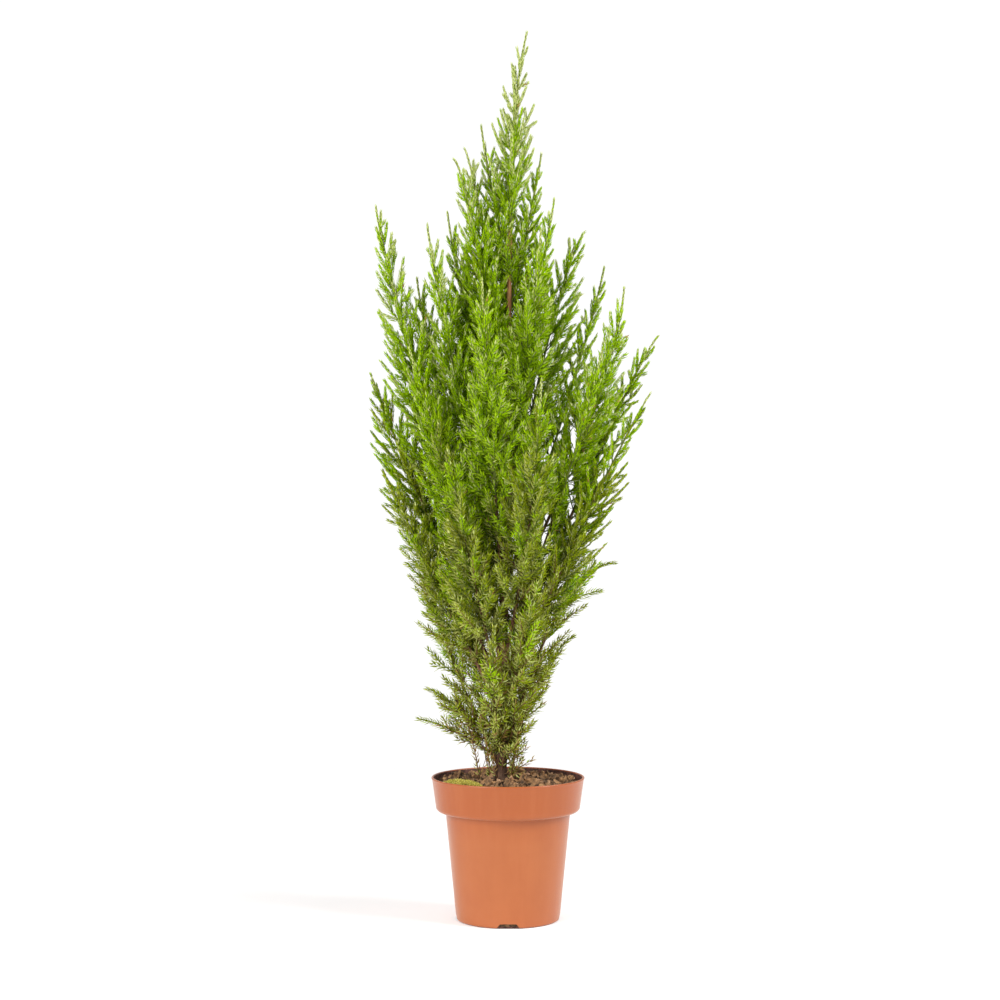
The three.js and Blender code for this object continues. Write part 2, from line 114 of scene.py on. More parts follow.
def blend_colours(tree, mask, first, second):
    """A colour socket that goes from first to second by the mask. Each is a socket or a plain colour."""
    return add_node(tree, "MixRGB", {"Fac": mask, "Color1": first, "Color2": second}).outputs["Color"]


def span(tree, mask, low, high):
    """The mask spread between two values."""
    return add_node(tree, "MapRange", {"Value": mask, "To Min": low, "To Max": high}).outputs["Result"]


def raised(tree, height, strength, depth):
    """The way a surface faces when a height mask raises it, seen in the light only."""
    values = {"Height": height, "Strength": strength, "Distance": depth}
    return add_node(tree, "Bump", values).outputs["Normal"]


def new_finish(name):
    """A new finish, with its node tree and its surface shader."""
    finish = bpy.data.materials.new(name)
    finish.use_nodes = True
    return finish, finish.node_tree, finish.node_tree.nodes["Principled BSDF"]


def mottled_finish(name, colours, scale, stretch=(1, 1, 1), roughness=(0.5, 0.7), depth=0.0003):
    """A finish of two colours in cloudy patches, with its gloss and a fine relief following them."""
    finish, tree, shader = new_finish(name)
    mask = add_mottle(tree, scale, stretch)
    fine = add_mottle(tree, scale * RELIEF_FINENESS, stretch)
    feed(shader, {
        "Base Color": blend_colours(tree, mask, *colours),
        "Roughness": span(tree, mask, *roughness),
        "Normal": raised(tree, fine, RELIEF_STRENGTH, depth),
    })
    return finish


camera_data = bpy.data.cameras.new("camera")
camera_data.sensor_width = SENSOR_WIDTH
camera_data.lens = SENSOR_WIDTH * FOCAL_LENGTH / PICTURE_WIDTH
camera = bpy.data.objects.new("camera", camera_data)
camera.location = EYE
camera.rotation_euler = (math.radians(90), 0, 0)
bpy.context.collection.objects.link(camera)
bpy.context.scene.camera = camera
bpy.context.scene.view_settings.view_transform = "Standard"

surround = bpy.data.worlds.new("surround")
surround.use_nodes = True
backdrop = surround.node_tree.nodes["Background"]
seen = add_node(surround.node_tree, "LightPath").outputs["Is Camera Ray"]
strength = span(surround.node_tree, seen, SURROUND_LIGHT, SURROUND_SEEN)
feed(backdrop, {"Color": (1, 1, 1, 1), "Strength": strength})
bpy.context.scene.world = surround

for name, place, width, power in SOFT_LIGHTS:
    light_data = bpy.data.lights.new(name, "AREA")
    light_data.size = width
    light_data.energy = power
    light = bpy.data.objects.new(name, light_data)
    light.location = place
    light.rotation_euler = (LIGHT_AIM - Vector(place)).to_track_quat("-Z", "Y").to_euler()
    bpy.context.collection.objects.link(light)


def piece_from(bm, name, *finishes, smooth_angle=None):
    """Makes the built shape a piece at the origin, shaded smooth up to the given angle between its faces."""
    mesh = bpy.data.meshes.new(name)
    bm.to_mesh(mesh)
    bm.free()
    for finish in finishes:
        mesh.materials.append(finish)
    if smooth_angle is not None:
        mesh.shade_smooth()
        mesh.set_sharp_from_angle(angle=math.radians(smooth_angle))
    piece = bpy.data.objects.new(name, mesh)
    bpy.context.collection.objects.link(piece)
    return piece


floor_shape = bmesh.new()
bmesh.ops.create_circle(floor_shape, cap_ends=True, segments=96, radius=FLOOR_REACH)
floor_finish = mottled_finish("floor_white", FLOOR_WHITES, 3.0, roughness=(0.85, 0.9), depth=0.0)
floor_tree = floor_finish.node_tree
floor_place = add_node(floor_tree, "TexCoord").outputs["Object"]
floor_distance = add_node(floor_tree, "VectorMath", {0: floor_place}, operation="LENGTH").outputs["Value"]
glow_limits = {"From Min": GLOW_FULL_TO, "From Max": GLOW_FADED_FROM, "To Max": GLOW_FADED_SHARE}
floor_glow = add_node(floor_tree, "MapRange", {"Value": floor_distance, "To Min": 1.0, **glow_limits})
floor_shader = floor_tree.nodes["Principled BSDF"]
feed(floor_shader, {"Emission Color": floor_glow.outputs["Result"], "Emission Strength": FLOOR_GLOW})
floor = piece_from(floor_shape, "floor", floor_finish)

# The pot: one thin injection-moulded shell of terracotta-coloured plastic, with a deep stepped collar, a fine
# rolled lip and drain slots through the foot of its wall. It stands on its flat underside.
RIM_RADIUS = 0.085
POT_HEIGHT = 0.159
COLLAR_FOOT = 0.121
COLLAR_FOOT_RADIUS = 0.0805
BODY_TOP_RADIUS = 0.0695
BODY_FOOT_RADIUS = 0.058
WALL = 0.0016
BASE_THICKNESS = 0.0024
COLLAR_ROUNDING, COLLAR_FILLET = 0.005, 0.002
FOOT_ROUNDING = 0.003
LIP_RADIUS, LIP_SET_IN = 0.0012, 0.6
LIP_FOOT, LIP_BACK = 0.004, 0.003
POT_STEPS = 144
SLOT_COUNT = 4
SLOT_FOOT, SLOT_HEAD, SLOT_HEIGHT, SLOT_DEPTH = 0.028, 0.018, 0.0056, 0.012
SLOT_ROUNDING = 0.0012
SLOT_OUTSIDE, SLOT_BELOW = 0.002, 0.001
POT_SHEEN, POT_SHEEN_SPREAD = 0.45, 0.3
# heights over which the body below the collar turns paler than the collar: painted light bounced up from the
# floor
BODY_PAINTED_BOUNCE_BLEND = (COLLAR_FOOT - 0.03, COLLAR_FOOT + 0.01)
# where the darker inside finish stops below the rim, above the slots and behind the wall: compost stain and
# painted shade
STAIN_AND_SHADE_BELOW_RIM, STAIN_AND_SHADE_ABOVE_SLOT, STAIN_AND_SHADE_BEHIND_WALL = 0.002, 0.0005, 0.001
UNDERSIDE = -0.99


def arc(cx, cz, radius, start, end, steps):
    """Points in the plane y = 0 round a centre, from one angle to another in degrees."""
    turns = [math.radians(start + (end - start) * i / steps) for i in range(steps + 1)]
    return [(cx + radius * math.cos(turn), 0, cz + radius * math.sin(turn)) for turn in turns]


def spun(profile, steps):
    """A closed shape turned from a profile about the upright axis."""
    bm = bmesh.new()
    corners = [bm.verts.new(point) for point in profile]
    edges = [bm.edges.new(pair) for pair in zip(corners, corners[1:])]
    full_turn = {"axis": (0, 0, 1), "cent": (0, 0, 0), "angle": 2 * math.pi, "use_merge": True}
    bmesh.ops.spin(bm, geom=corners + edges, steps=steps, **full_turn)
    bmesh.ops.remove_doubles(bm, verts=bm.verts, dist=1e-6)
    bmesh.ops.recalc_face_normals(bm, faces=bm.faces)
    return bm


def collar_radius(z):
    share = (z - COLLAR_FOOT) / (POT_HEIGHT - COLLAR_FOOT)
    return COLLAR_FOOT_RADIUS + (RIM_RADIUS - COLLAR_FOOT_RADIUS) * share


def body_radius(z):
    return BODY_FOOT_RADIUS + (BODY_TOP_RADIUS - BODY_FOOT_RADIUS) * z / COLLAR_FOOT


def inside_profile(top, gap):
    """The inside of the pot from the middle of its floor up to a height, a gap clear of the wall."""
    floor_level = BASE_THICKNESS + gap
    ledge = COLLAR_FOOT + WALL + gap
    return [
        (0, 0, floor_level),
        (body_radius(floor_level) - WALL - gap, 0, floor_level),
        (body_radius(COLLAR_FOOT) - WALL - gap, 0, ledge),
        (collar_radius(ledge) - WALL - gap, 0, ledge),
        (collar_radius(top) - WALL - gap, 0, top),
    ]


def pot_profile():
    """The pot's wall in section, up its outside, over its lip and down its inside."""
    collar_arc = (COLLAR_FOOT_RADIUS - COLLAR_ROUNDING, COLLAR_FOOT + COLLAR_ROUNDING, COLLAR_ROUNDING)
    outside = [
        (0, 0, 0),
        *arc(BODY_FOOT_RADIUS - FOOT_ROUNDING, FOOT_ROUNDING, FOOT_ROUNDING, -90, 0, 6),
        (body_radius(COLLAR_FOOT * 0.5), 0, COLLAR_FOOT * 0.5),
        *arc(BODY_TOP_RADIUS + COLLAR_FILLET, COLLAR_FOOT - COLLAR_FILLET, COLLAR_FILLET, 180, 90, 4),
        *arc(*collar_arc, -90, 0, 10),
        (collar_radius(POT_HEIGHT - LIP_FOOT), 0, POT_HEIGHT - LIP_FOOT),
        *arc(RIM_RADIUS - LIP_RADIUS * LIP_SET_IN, POT_HEIGHT - LIP_RADIUS, LIP_RADIUS, -40, 180, 10),
    ]
    return outside + inside_profile(POT_HEIGHT - LIP_BACK, 0)[::-1]


def slot_block(turn):
    """The tapered block that cuts one drain slot."""
    bm = bmesh.new()
    bmesh.ops.create_cube(bm, size=1)
    for corner in bm.verts:
        above = corner.co.z > 0
        width = SLOT_HEAD if above else SLOT_FOOT
        out = BODY_FOOT_RADIUS + SLOT_OUTSIDE + corner.co.x * SLOT_DEPTH
        corner.co = (out, corner.co.y * width, SLOT_HEIGHT if above else -SLOT_BELOW)
    top_edges = [edge for edge in bm.edges if min(corner.co.z for corner in edge.verts) > 0]
    long_edges = [edge for edge in top_edges if abs(edge.verts[0].co.x - edge.verts[1].co.x) > 1e-4]
    rounding = {"offset": SLOT_ROUNDING, "affect": "EDGES", "segments": 3, "profile": 0.5, "material": -1}
    bmesh.ops.bevel(bm, geom=long_edges, **rounding)
    bmesh.ops.rotate(bm, verts=bm.verts, cent=(0, 0, 0), matrix=Matrix.Rotation(turn, 3, "Z"))
    return bm


def cut_away(piece, bm):
    """Takes a shape out of a piece and leaves no live modifier on it."""
    cutter = piece_from(bm, "cutter")
    modifier = piece.modifiers.new("cut", "BOOLEAN")
    modifier.object = cutter
    modifier.solver = "EXACT"
    bpy.context.view_layer.update()
    evaluated = piece.evaluated_get(bpy.context.evaluated_depsgraph_get())
    mesh = bpy.data.meshes.new_from_object(evaluated)
    piece.modifiers.remove(modifier)
    mesh.name = piece.data.name
    piece.data = mesh
    bpy.data.objects.remove(cutter)


def height_mask(tree, low, high):
    """A mask that goes from 0 to 1 between two heights."""
    place = add_node(tree, "TexCoord").outputs["Object"]
    height = add_node(tree, "SeparateXYZ", {0: place}).outputs["Z"]
    return add_node(tree, "MapRange", {"Value": height, "From Min": low, "From Max": high}).outputs["Result"]


def terracotta_finish():
    """Satin plastic, faintly cloudy, with flow streaks up the wall, pale scuffs and specks of compost, and
    the body below the collar painted paler as light bounced up from the floor.
    """
    finish, tree, shader = new_finish("terracotta_plastic")
    cloud = add_mottle(tree, 24, low=0.3, high=0.75)
    streak = add_mottle(tree, 90, stretch=(1, 1, 0.08), low=0.4, high=0.75)
    scuff = add_mottle(tree, 210, stretch=(0.35, 0.35, 1.4), low=0.66, high=0.74)
    speck = add_mottle(tree, 420, low=0.73, high=0.78)
    # the body below the collar is painted paler than the collar, a painted reflection of light bounced up
    # from the floor
    colour = blend_colours(tree, height_mask(tree, *BODY_PAINTED_BOUNCE_BLEND), paint(170, 94, 46), paint(163, 82, 32))
    layers = [
        (cloud, 0.4, paint(158, 80, 34)),
        (streak, 0.35, paint(174, 97, 50)),
        (scuff, 0.16, paint(176, 112, 70)),
        (speck, 0.55, paint(120, 74, 48)),
    ]
    for mask, most, tint in layers:
        colour = blend_colours(tree, span(tree, mask, 0, most), colour, tint)
    feed(shader, {
        "Base Color": colour,
        "Roughness": span(tree, scuff, 0.32, 0.5),
        "Normal": raised(tree, add_mottle(tree, 900, low=0.2, high=0.8), 0.18, 0.0002),
        "Sheen Weight": POT_SHEEN,
        "Sheen Roughness": POT_SHEEN_SPREAD,
        "Sheen Tint": paint(255, 226, 208),
    })
    return finish


def is_stained_or_shaded(face):
    """Whether a face of the pot lies inside its collar or in a drain slot, where compost stains it and its
    darker finish is also painted shade.
    """
    centre, normal = face.center, face.normal
    faces_in = centre.x * normal.x + centre.y * normal.y < 0
    behind_wall = math.hypot(centre.x, centre.y) < BODY_FOOT_RADIUS - STAIN_AND_SHADE_BEHIND_WALL
    in_collar = COLLAR_FOOT < centre.z < POT_HEIGHT - STAIN_AND_SHADE_BELOW_RIM and faces_in
    return in_collar or (centre.z < SLOT_HEIGHT + STAIN_AND_SHADE_ABOVE_SLOT and behind_wall and normal.z > UNDERSIDE)


def fit_piece(piece, slot, *nodes):
    """Fixes a piece to the plant's one body in place of the named nodes. The slot is not used."""
    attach(piece, "root")
    if nodes:
        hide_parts(*nodes)


pot = piece_from(spun(pot_profile(), POT_STEPS), "pot_shell", terracotta_finish(), smooth_angle=35)
for slot in range(SLOT_COUNT):
    cut_away(pot, slot_block(2 * math.pi * slot / SLOT_COUNT - math.pi / 2))
# faces inside the collar and inside the foot with its slots take a darker finish, partly compost stain and
# partly painted shade
stain_and_shade_colours = (paint(112, 66, 52), paint(64, 42, 36))
pot.data.materials.append(mottled_finish("soiled_and_shaded_plastic", stain_and_shade_colours, 130, roughness=(0.5, 0.85)))
for face in pot.data.polygons:
    if is_stained_or_shaded(face):
        face.material_index = 1
fit_piece(pot, "pot_plastic", "pot")

# The compost: a dark peaty mix that fills the pot to just under its rim and mounds a little to the trunk,
# with bark chips, crumbs, woody strands, white grit and fallen needles lying loose on top.
SOIL_EDGE = 0.151
SOIL_TOP = 0.154
SOIL_MOUND = 0.003
SOIL_BUMP = 0.0011
TRUNK_OFFSET = -0.008
TRUNK_SEAT = 0.016
SOIL_GAP = 0.0003
SOIL_RINGS, SOIL_STEPS = 34, 180
SOIL_RELIEF, SOIL_GRAIN = 0.0016, 170
SMOOTH_AT_TRUNK = (0.006, 0.014)
LOOSE_REACH, LOOSE_CLEARANCE = 0.0805, 0.75
LUMP_CORNERS = (0.62, 1.15)


def smoothstep(value, low, high):
    share = np.clip((value - low) / (high - low), 0, 1)
    return share * share * (3 - 2 * share)


def soil_level(x, y):
    """The height of the compost's mounded surface, with broad bumps away from the trunk."""
    share = smoothstep(np.hypot(x - TRUNK_OFFSET, y), TRUNK_SEAT, RIM_RADIUS)
    bumps = np.sin(190 * x + 1.3) * np.sin(230 * y - 0.4) + 0.6 * np.sin(410 * x - 370 * y)
    return SOIL_TOP - SOIL_MOUND * share + SOIL_BUMP * bumps * np.minimum(1, 3 * share)


def soil_relief(x, y):
    return SOIL_RELIEF * noise.fractal(Vector((x, y, 0)) * SOIL_GRAIN, 0.7, 2.1, 4)


def joined_piece(name, corners, faces, finish, smooth=False):
    """One piece of many small like shapes, from an array of corners and an array of faces."""
    mesh = bpy.data.meshes.new(name)
    mesh.vertices.add(len(corners))
    mesh.vertices.foreach_set("co", corners.astype(np.float32).ravel())
    mesh.loops.add(faces.size)
    mesh.loops.foreach_set("vertex_index", faces.astype(np.int32).ravel())
    mesh.polygons.add(len(faces))
    mesh.polygons.foreach_set("loop_start", np.arange(0, faces.size, faces.shape[1], dtype=np.int32))
    mesh.polygons.foreach_set("use_smooth", np.full(len(faces), smooth))
    mesh.update(calc_edges=True)
    mesh.materials.append(finish)
    piece = bpy.data.objects.new(name, mesh)
    bpy.context.collection.objects.link(piece)
    return piece


def repeated(faces, corners_each, count):
    """The faces of one small shape, numbered on for each of its copies."""
    first_corners = corners_each * np.arange(count)[:, None, None]
    return (np.asarray(faces)[None] + first_corners).reshape(-1, len(faces[0]))


def lumps(centres, sizes, draw):
    """One closed uneven six-sided lump per centre, turned any way and tilted a little."""
    count = len(centres)
    box = np.array([(x, y, z) for x in (-0.5, 0.5) for y in (-0.5, 0.5) for z in (-0.5, 0.5)])
    corners = box[None] * draw.uniform(*LUMP_CORNERS, (count, 8, 3)) * sizes[:, None]
    turns = np.linalg.qr(draw.normal(size=(count, 3, 3)) * (1, 1, 0.4) + np.eye(3) * (0, 0, 2.2))[0]
    turns[:, :, 0] *= np.sign(np.linalg.det(turns))[:, None]
    corners = np.einsum("nij,nkj->nki", turns, corners) + centres[:, None]
    sides = [(0, 1, 3, 2), (4, 6, 7, 5), (0, 4, 5, 1), (2, 3, 7, 6), (0, 2, 6, 4), (1, 5, 7, 3)]
    return corners.reshape(-1, 3), repeated(sides, 8, count)


def kites(roots, along, across, lengths, widths, waist=0.35, keel=0.3):
    """One slim closed blade per root, pointed at both ends, ridged on one side and keeled on the other."""
    lengths, widths = lengths[:, None], widths[:, None]
    middle = roots + along * lengths * waist + np.cross(across, along) * widths * keel
    tips = roots + along * lengths
    corners = np.stack([roots, middle + across * widths / 2, middle - across * widths / 2, tips], axis=1)
    return corners.reshape(-1, 3), repeated([(0, 3, 1), (0, 2, 3), (0, 1, 2), (1, 3, 2)], 4, len(roots))


def unit(vectors):
    return vectors / np.maximum(np.linalg.norm(vectors, axis=-1, keepdims=True), 1e-12)


def rods(points, radii, sides):
    """One closed tapering rod along each row of points, with flat ends."""
    count, steps = points.shape[:2]
    tangents = unit(np.gradient(points, axis=1))
    steep = np.abs(tangents[:, :1, 2:]) > 0.8
    helper = np.where(steep, np.array([1.0, 0.0, 0.0]), np.array([0.0, 0.0, 1.0]))
    first = unit(np.cross(tangents, np.broadcast_to(helper, tangents.shape)))
    second = np.cross(tangents, first)
    turns = 2 * np.pi * np.arange(sides) / sides
    ring = first[:, :, None] * np.cos(turns)[:, None] + second[:, :, None] * np.sin(turns)[:, None]
    corners = points[:, :, None] + ring * radii[..., None, None]
    faces = []
    for step in range(steps - 1):
        for side in range(sides):
            a, b = step * sides + side, step * sides + (side + 1) % sides
            faces += [(a, b, b + sides), (a, b + sides, a + sides)]
    last = (steps - 1) * sides
    for side in range(1, sides - 1):
        faces += [(0, side + 1, side), (last, last + side, last + side + 1)]
    return corners.reshape(-1, 3), repeated(faces, steps * sides, count)


def on_soil(x, y):
    """The points of the compost's uneven surface at the given places."""
    relief = np.array([soil_relief(px, py) for px, py in zip(x, y)])
    return np.stack([x, y, soil_level(x, y) + relief], axis=1)


def loose_places(draw, count):
    """Places on the compost, clear of the trunk."""
    turns = draw.uniform(0, 2 * np.pi, 2 * count)
    reach = LOOSE_REACH * np.sqrt(draw.uniform(0, 1, 2 * count))
    x, y = reach * np.cos(turns), reach * np.sin(turns)
    clear = np.flatnonzero(np.hypot(x - TRUNK_OFFSET, y) > TRUNK_SEAT * LOOSE_CLEARANCE)[:count]
    return on_soil(x[clear], y[clear])


soil_radius = collar_radius(SOIL_EDGE) - WALL - SOIL_GAP
soil_top = [(share * soil_radius, 0, SOIL_TOP) for share in np.linspace(1, 0, SOIL_RINGS)]
soil_shape = spun(inside_profile(SOIL_EDGE, SOIL_GAP)[:-1] + soil_top, SOIL_STEPS)
for corner in soil_shape.verts:
    if corner.co.z > SOIL_EDGE:
        x, y, z = corner.co
        settle = float(smoothstep(np.hypot(x - TRUNK_OFFSET, y), *SMOOTH_AT_TRUNK))
        corner.co.z = float(soil_level(x, y)) + settle * soil_relief(x, y)
soil_colours = (paint(114, 86, 54), paint(58, 43, 28))
soil_finish = mottled_finish("peaty_compost", soil_colours, 330, roughness=(0.85, 0.98), depth=0.0012)
fit_piece(piece_from(soil_shape, "compost_bed", soil_finish, smooth_angle=60), "compost", "soil")

# name, count, longest, widest and thickest in metres, scale of its patches, and the two colours
LOOSE_LUMPS = [
    ("compost_crumbs", 1300, (0.0034, 0.0030, 0.0024), 420, (paint(104, 78, 52), paint(44, 32, 22))),
    ("compost_chips_dark", 330, (0.0190, 0.0090, 0.0030), 110, (paint(168, 126, 84), paint(56, 40, 26))),
    ("compost_chips_tan", 110, (0.0135, 0.0050, 0.0024), 140, (paint(196, 154, 116), paint(120, 86, 60))),
    ("compost_grit", 26, (0.0024, 0.0022, 0.0020), 420, (paint(214, 204, 190), paint(186, 174, 158))),
]
LUMP_SCALES, LUMP_SIDES = (0.35, 1.0), (0.75, 1.1)
LUMP_CLEARANCE, LUMP_LIFT = 0.6, 0.3
for seed, (name, count, most, patches, colours) in enumerate(LOOSE_LUMPS):
    draw = np.random.default_rng(40 + seed)
    centres = loose_places(draw, count)
    sizes = np.array(most) * draw.uniform(*LUMP_SCALES, (len(centres), 1))
    sizes = sizes * draw.uniform(*LUMP_SIDES, (len(centres), 3))
    furthest = LOOSE_REACH - LUMP_CLEARANCE * np.linalg.norm(sizes, axis=1)
    inwards = np.minimum(1, furthest / np.hypot(centres[:, 0], centres[:, 1]))
    centres = on_soil(centres[:, 0] * inwards, centres[:, 1] * inwards)
    centres[:, 2] += LUMP_LIFT * sizes[:, 2]
    finish = mottled_finish(name, colours, patches, roughness=(0.75, 0.95))
    fit_piece(joined_piece(name, *lumps(centres, sizes, draw), finish), "compost")

STRAND_COUNT, STRAND_STEPS = 90, 6
STRAND_LENGTHS = (0.008, 0.030)
STRAND_BEND = 1.1
STRAND_LIFT, STRAND_ARCH = 0.0012, 0.002
STRAND_RADII = (0.0003, 0.0007)
draw = np.random.default_rng(50)
strand_starts = loose_places(draw, STRAND_COUNT)
strand_turns = draw.uniform(0, 2 * np.pi, (STRAND_COUNT, 1))
strand_lengths = draw.uniform(*STRAND_LENGTHS, (STRAND_COUNT, 1))
strand_shares = np.linspace(0, 1, STRAND_STEPS)
strand_turns = strand_turns + draw.uniform(-STRAND_BEND, STRAND_BEND, (STRAND_COUNT, 1)) * strand_shares
strand_x = strand_starts[:, :1] + strand_lengths * strand_shares * np.cos(strand_turns)
strand_y = strand_starts[:, 1:2] + strand_lengths * strand_shares * np.sin(strand_turns)
strand_fit = np.minimum(1, LOOSE_REACH / np.maximum(np.hypot(strand_x, strand_y), 1e-6))
strand_x, strand_y = strand_x * strand_fit, strand_y * strand_fit
strand_arch = STRAND_ARCH * draw.uniform(0, 1, (STRAND_COUNT, 1)) * np.sin(np.pi * strand_shares)
strand_z = soil_level(strand_x, strand_y) + (STRAND_LIFT + strand_arch)
strand_radii = draw.uniform(*STRAND_RADII, (STRAND_COUNT, 1)) * np.linspace(1, 0.5, STRAND_STEPS)
strand_shapes = rods(np.stack([strand_x, strand_y, strand_z], axis=2), strand_radii, 4)
strand_finish = mottled_finish("woody_strand", (paint(158, 116, 76), paint(96, 68, 46)), 260)
fit_piece(joined_piece("compost_strands", *strand_shapes, strand_finish), "compost")

FALLEN_COUNT = 420
FALLEN_LIFT, FALLEN_WIDTH = 0.0012, 0.0011
FALLEN_LENGTHS, FALLEN_TILTS = (0.005, 0.008), (-0.1, 0.35)
draw = np.random.default_rng(51)
fallen_roots = loose_places(draw, FALLEN_COUNT) + (0, 0, FALLEN_LIFT)
fallen_turns = draw.uniform(0, 2 * np.pi, FALLEN_COUNT)
fallen_tilts = draw.uniform(*FALLEN_TILTS, FALLEN_COUNT)
fallen_along = unit(np.stack([np.cos(fallen_turns), np.sin(fallen_turns), fallen_tilts], axis=1))
fallen_across = unit(np.cross(fallen_along, (0, 0, 1)))
fallen_fits = np.hypot(*(fallen_roots + FALLEN_LENGTHS[1] * fallen_along)[:, :2].T) < LOOSE_REACH
fallen_lengths = draw.uniform(*FALLEN_LENGTHS, FALLEN_COUNT)
fallen_widths = np.full(FALLEN_COUNT, FALLEN_WIDTH)
fallen_columns = (fallen_roots, fallen_along, fallen_across, fallen_lengths, fallen_widths)
fallen_shapes = kites(*(column[fallen_fits] for column in fallen_columns))
fallen_finish = mottled_finish("dry_needle", (paint(172, 124, 74), paint(120, 80, 48)), 150)
fit_piece(joined_piece("compost_fallen_needles", *fallen_shapes, fallen_finish), "compost")

# The moss: one low cushion at the front left of the compost, a mound of short soft fronds in two
# yellow-greens that have grown onto the surface.
MOSS_PLACE = (-0.0495, -0.0455)
MOSS_SIZE = (0.0325, 0.0125, 0.0165)
MOSS_SUNK, MOSS_FOOT = 0.0075, 0.003
MOSS_TURN = math.radians(-40)
MOSS_RELIEF, MOSS_GRAIN = 0.0011, 240
FROND_COUNT = 4200
FROND_LOWEST = 0.42
FROND_REACH = (1.12, 1.12, 0.99)
FROND_STRAY = 0.55
FROND_LENGTHS, FROND_WIDTH = (0.0018, 0.0040), 0.0008
FROND_PALE_SHARE = 0.55
FROND_TONES = [
    ("moss_fronds_pale", (paint(228, 216, 116), paint(204, 190, 84))),
    ("moss_fronds_deep", (paint(184, 174, 66), paint(148, 142, 46))),
]

moss_place = Vector((*MOSS_PLACE, float(soil_level(*MOSS_PLACE)) - MOSS_SUNK))
moss_turn = Matrix.Rotation(MOSS_TURN, 3, "Z")
moss_shape = bmesh.new()
bmesh.ops.create_icosphere(moss_shape, subdivisions=5, radius=1)
bmesh.ops.scale(moss_shape, vec=MOSS_SIZE, verts=moss_shape.verts)
bmesh.ops.rotate(moss_shape, verts=moss_shape.verts, cent=(0, 0, 0), matrix=moss_turn)
bmesh.ops.translate(moss_shape, vec=moss_place, verts=moss_shape.verts)
for corner in moss_shape.verts:
    corner.co += corner.normal * MOSS_RELIEF * noise.fractal(corner.co * MOSS_GRAIN, 0.8, 2.1, 3)
    corner.co.xy = corner.co.xy * min(1, LOOSE_REACH / corner.co.xy.length)
moss_cut = moss_place + Vector((0, 0, MOSS_SUNK - MOSS_FOOT))
moss_parts = moss_shape.verts[:] + moss_shape.edges[:] + moss_shape.faces[:]
bmesh.ops.bisect_plane(moss_shape, geom=moss_parts, plane_co=moss_cut, plane_no=(0, 0, 1), clear_inner=True)
bmesh.ops.holes_fill(moss_shape, edges=moss_shape.edges)
moss_colours = (paint(158, 146, 60), paint(118, 114, 40))
moss_finish = mottled_finish("moss_bed", moss_colours, 500, roughness=(0.9, 1.0))
fit_piece(piece_from(moss_shape, "moss_cushion", moss_finish, smooth_angle=60), "moss", "moss")

draw = np.random.default_rng(60)
frond_way = unit(draw.normal(size=(FROND_COUNT, 3)) * (1, 1, 0.8) + (0, 0, 0.5))
frond_way = frond_way[frond_way[:, 2] > FROND_LOWEST]
frond_turn = np.array(moss_turn).T
frond_roots = (frond_way * (np.array(MOSS_SIZE) * FROND_REACH)) @ frond_turn + np.array(moss_place)
frond_out = unit(frond_way / np.array(MOSS_SIZE)) @ frond_turn
frond_along = unit(frond_out + draw.normal(size=frond_way.shape) * FROND_STRAY)
frond_across = unit(np.cross(frond_along, draw.normal(size=frond_way.shape)))
frond_lengths = draw.uniform(*FROND_LENGTHS, len(frond_way))
frond_widths = np.full(len(frond_way), FROND_WIDTH)
frond_fits = np.hypot(*(frond_roots + frond_along * frond_lengths[:, None])[:, :2].T) < LOOSE_REACH
frond_tone = draw.uniform(0, 1, len(frond_way)) > FROND_PALE_SHARE
frond_columns = (frond_roots, frond_along, frond_across, frond_lengths, frond_widths)
for tone, (name, colours) in enumerate(FROND_TONES):
    pick = (frond_tone == bool(tone)) & frond_fits
    shapes = kites(*(column[pick] for column in frond_columns))
    fit_piece(joined_piece(name, *shapes, mottled_finish(name, colours, 300, roughness=(0.7, 0.9))), "moss")

# The trunk: one slim stem that leans a little and tapers from a small flare at the compost, with grey-brown
# bark that splits into upright ridges and lifts off in fibrous reddish strips.
PLANT_FOOT = np.array([TRUNK_OFFSET, 0.0, SOIL_TOP + SOIL_GAP])
PLANT_HEIGHT = 0.836
TRUNK_TOP = 0.615
TRUNK_RADIUS = 0.0058
TRUNK_TAPER = 0.75
FLARE_RADIUS, FLARE_HEIGHT = 0.0024, 0.011
TRUNK_LEAN = 0.014
TIP_LEAN, TIP_LEAN_POWER = 0.015, 12
TRUNK_SWAY = 0.004
TRUNK_SUNK = 0.002
TRUNK_RING_PITCH = 0.003
TRUNK_SIDES = 20
# how often ridges and fibres come round the stem and along it, and how far they stand out of its radius
BARK_RIDGES, BARK_FIBRES = (330, 42, 0.2), (900, 110, 0.09)
FIBRE_RADIUS = 0.004
BARK_GRAIN = (1, 1, 0.14)
BARK_DARK_TO, BARK_RED_FROM = 0.2, 0.6


def trunk_point(height):
    """The points of the trunk's axis, and of the leader's beyond it, at the given heights."""
    share = np.asarray(height, dtype=float) / PLANT_HEIGHT
    x = TRUNK_LEAN * share + TIP_LEAN * share**TIP_LEAN_POWER
    return np.stack([x, TRUNK_SWAY * np.sin(2 * np.pi * share), share * PLANT_HEIGHT], axis=-1)


def trunk_radius(height):
    tapered = TRUNK_RADIUS * (1 - height / PLANT_HEIGHT) ** TRUNK_TAPER
    return tapered + FLARE_RADIUS * np.exp(-height / FLARE_HEIGHT)


def bark_relief(point, radius):
    """How far the bark stands out or in at a point, as a share of the radius."""
    waves = []
    for around, along, share in (BARK_RIDGES, BARK_FIBRES):
        waves.append(share * noise.noise(Vector((point.x * around, point.y * around, point.z * along))))
    return waves[0] + waves[1] * min(1, FIBRE_RADIUS / radius)


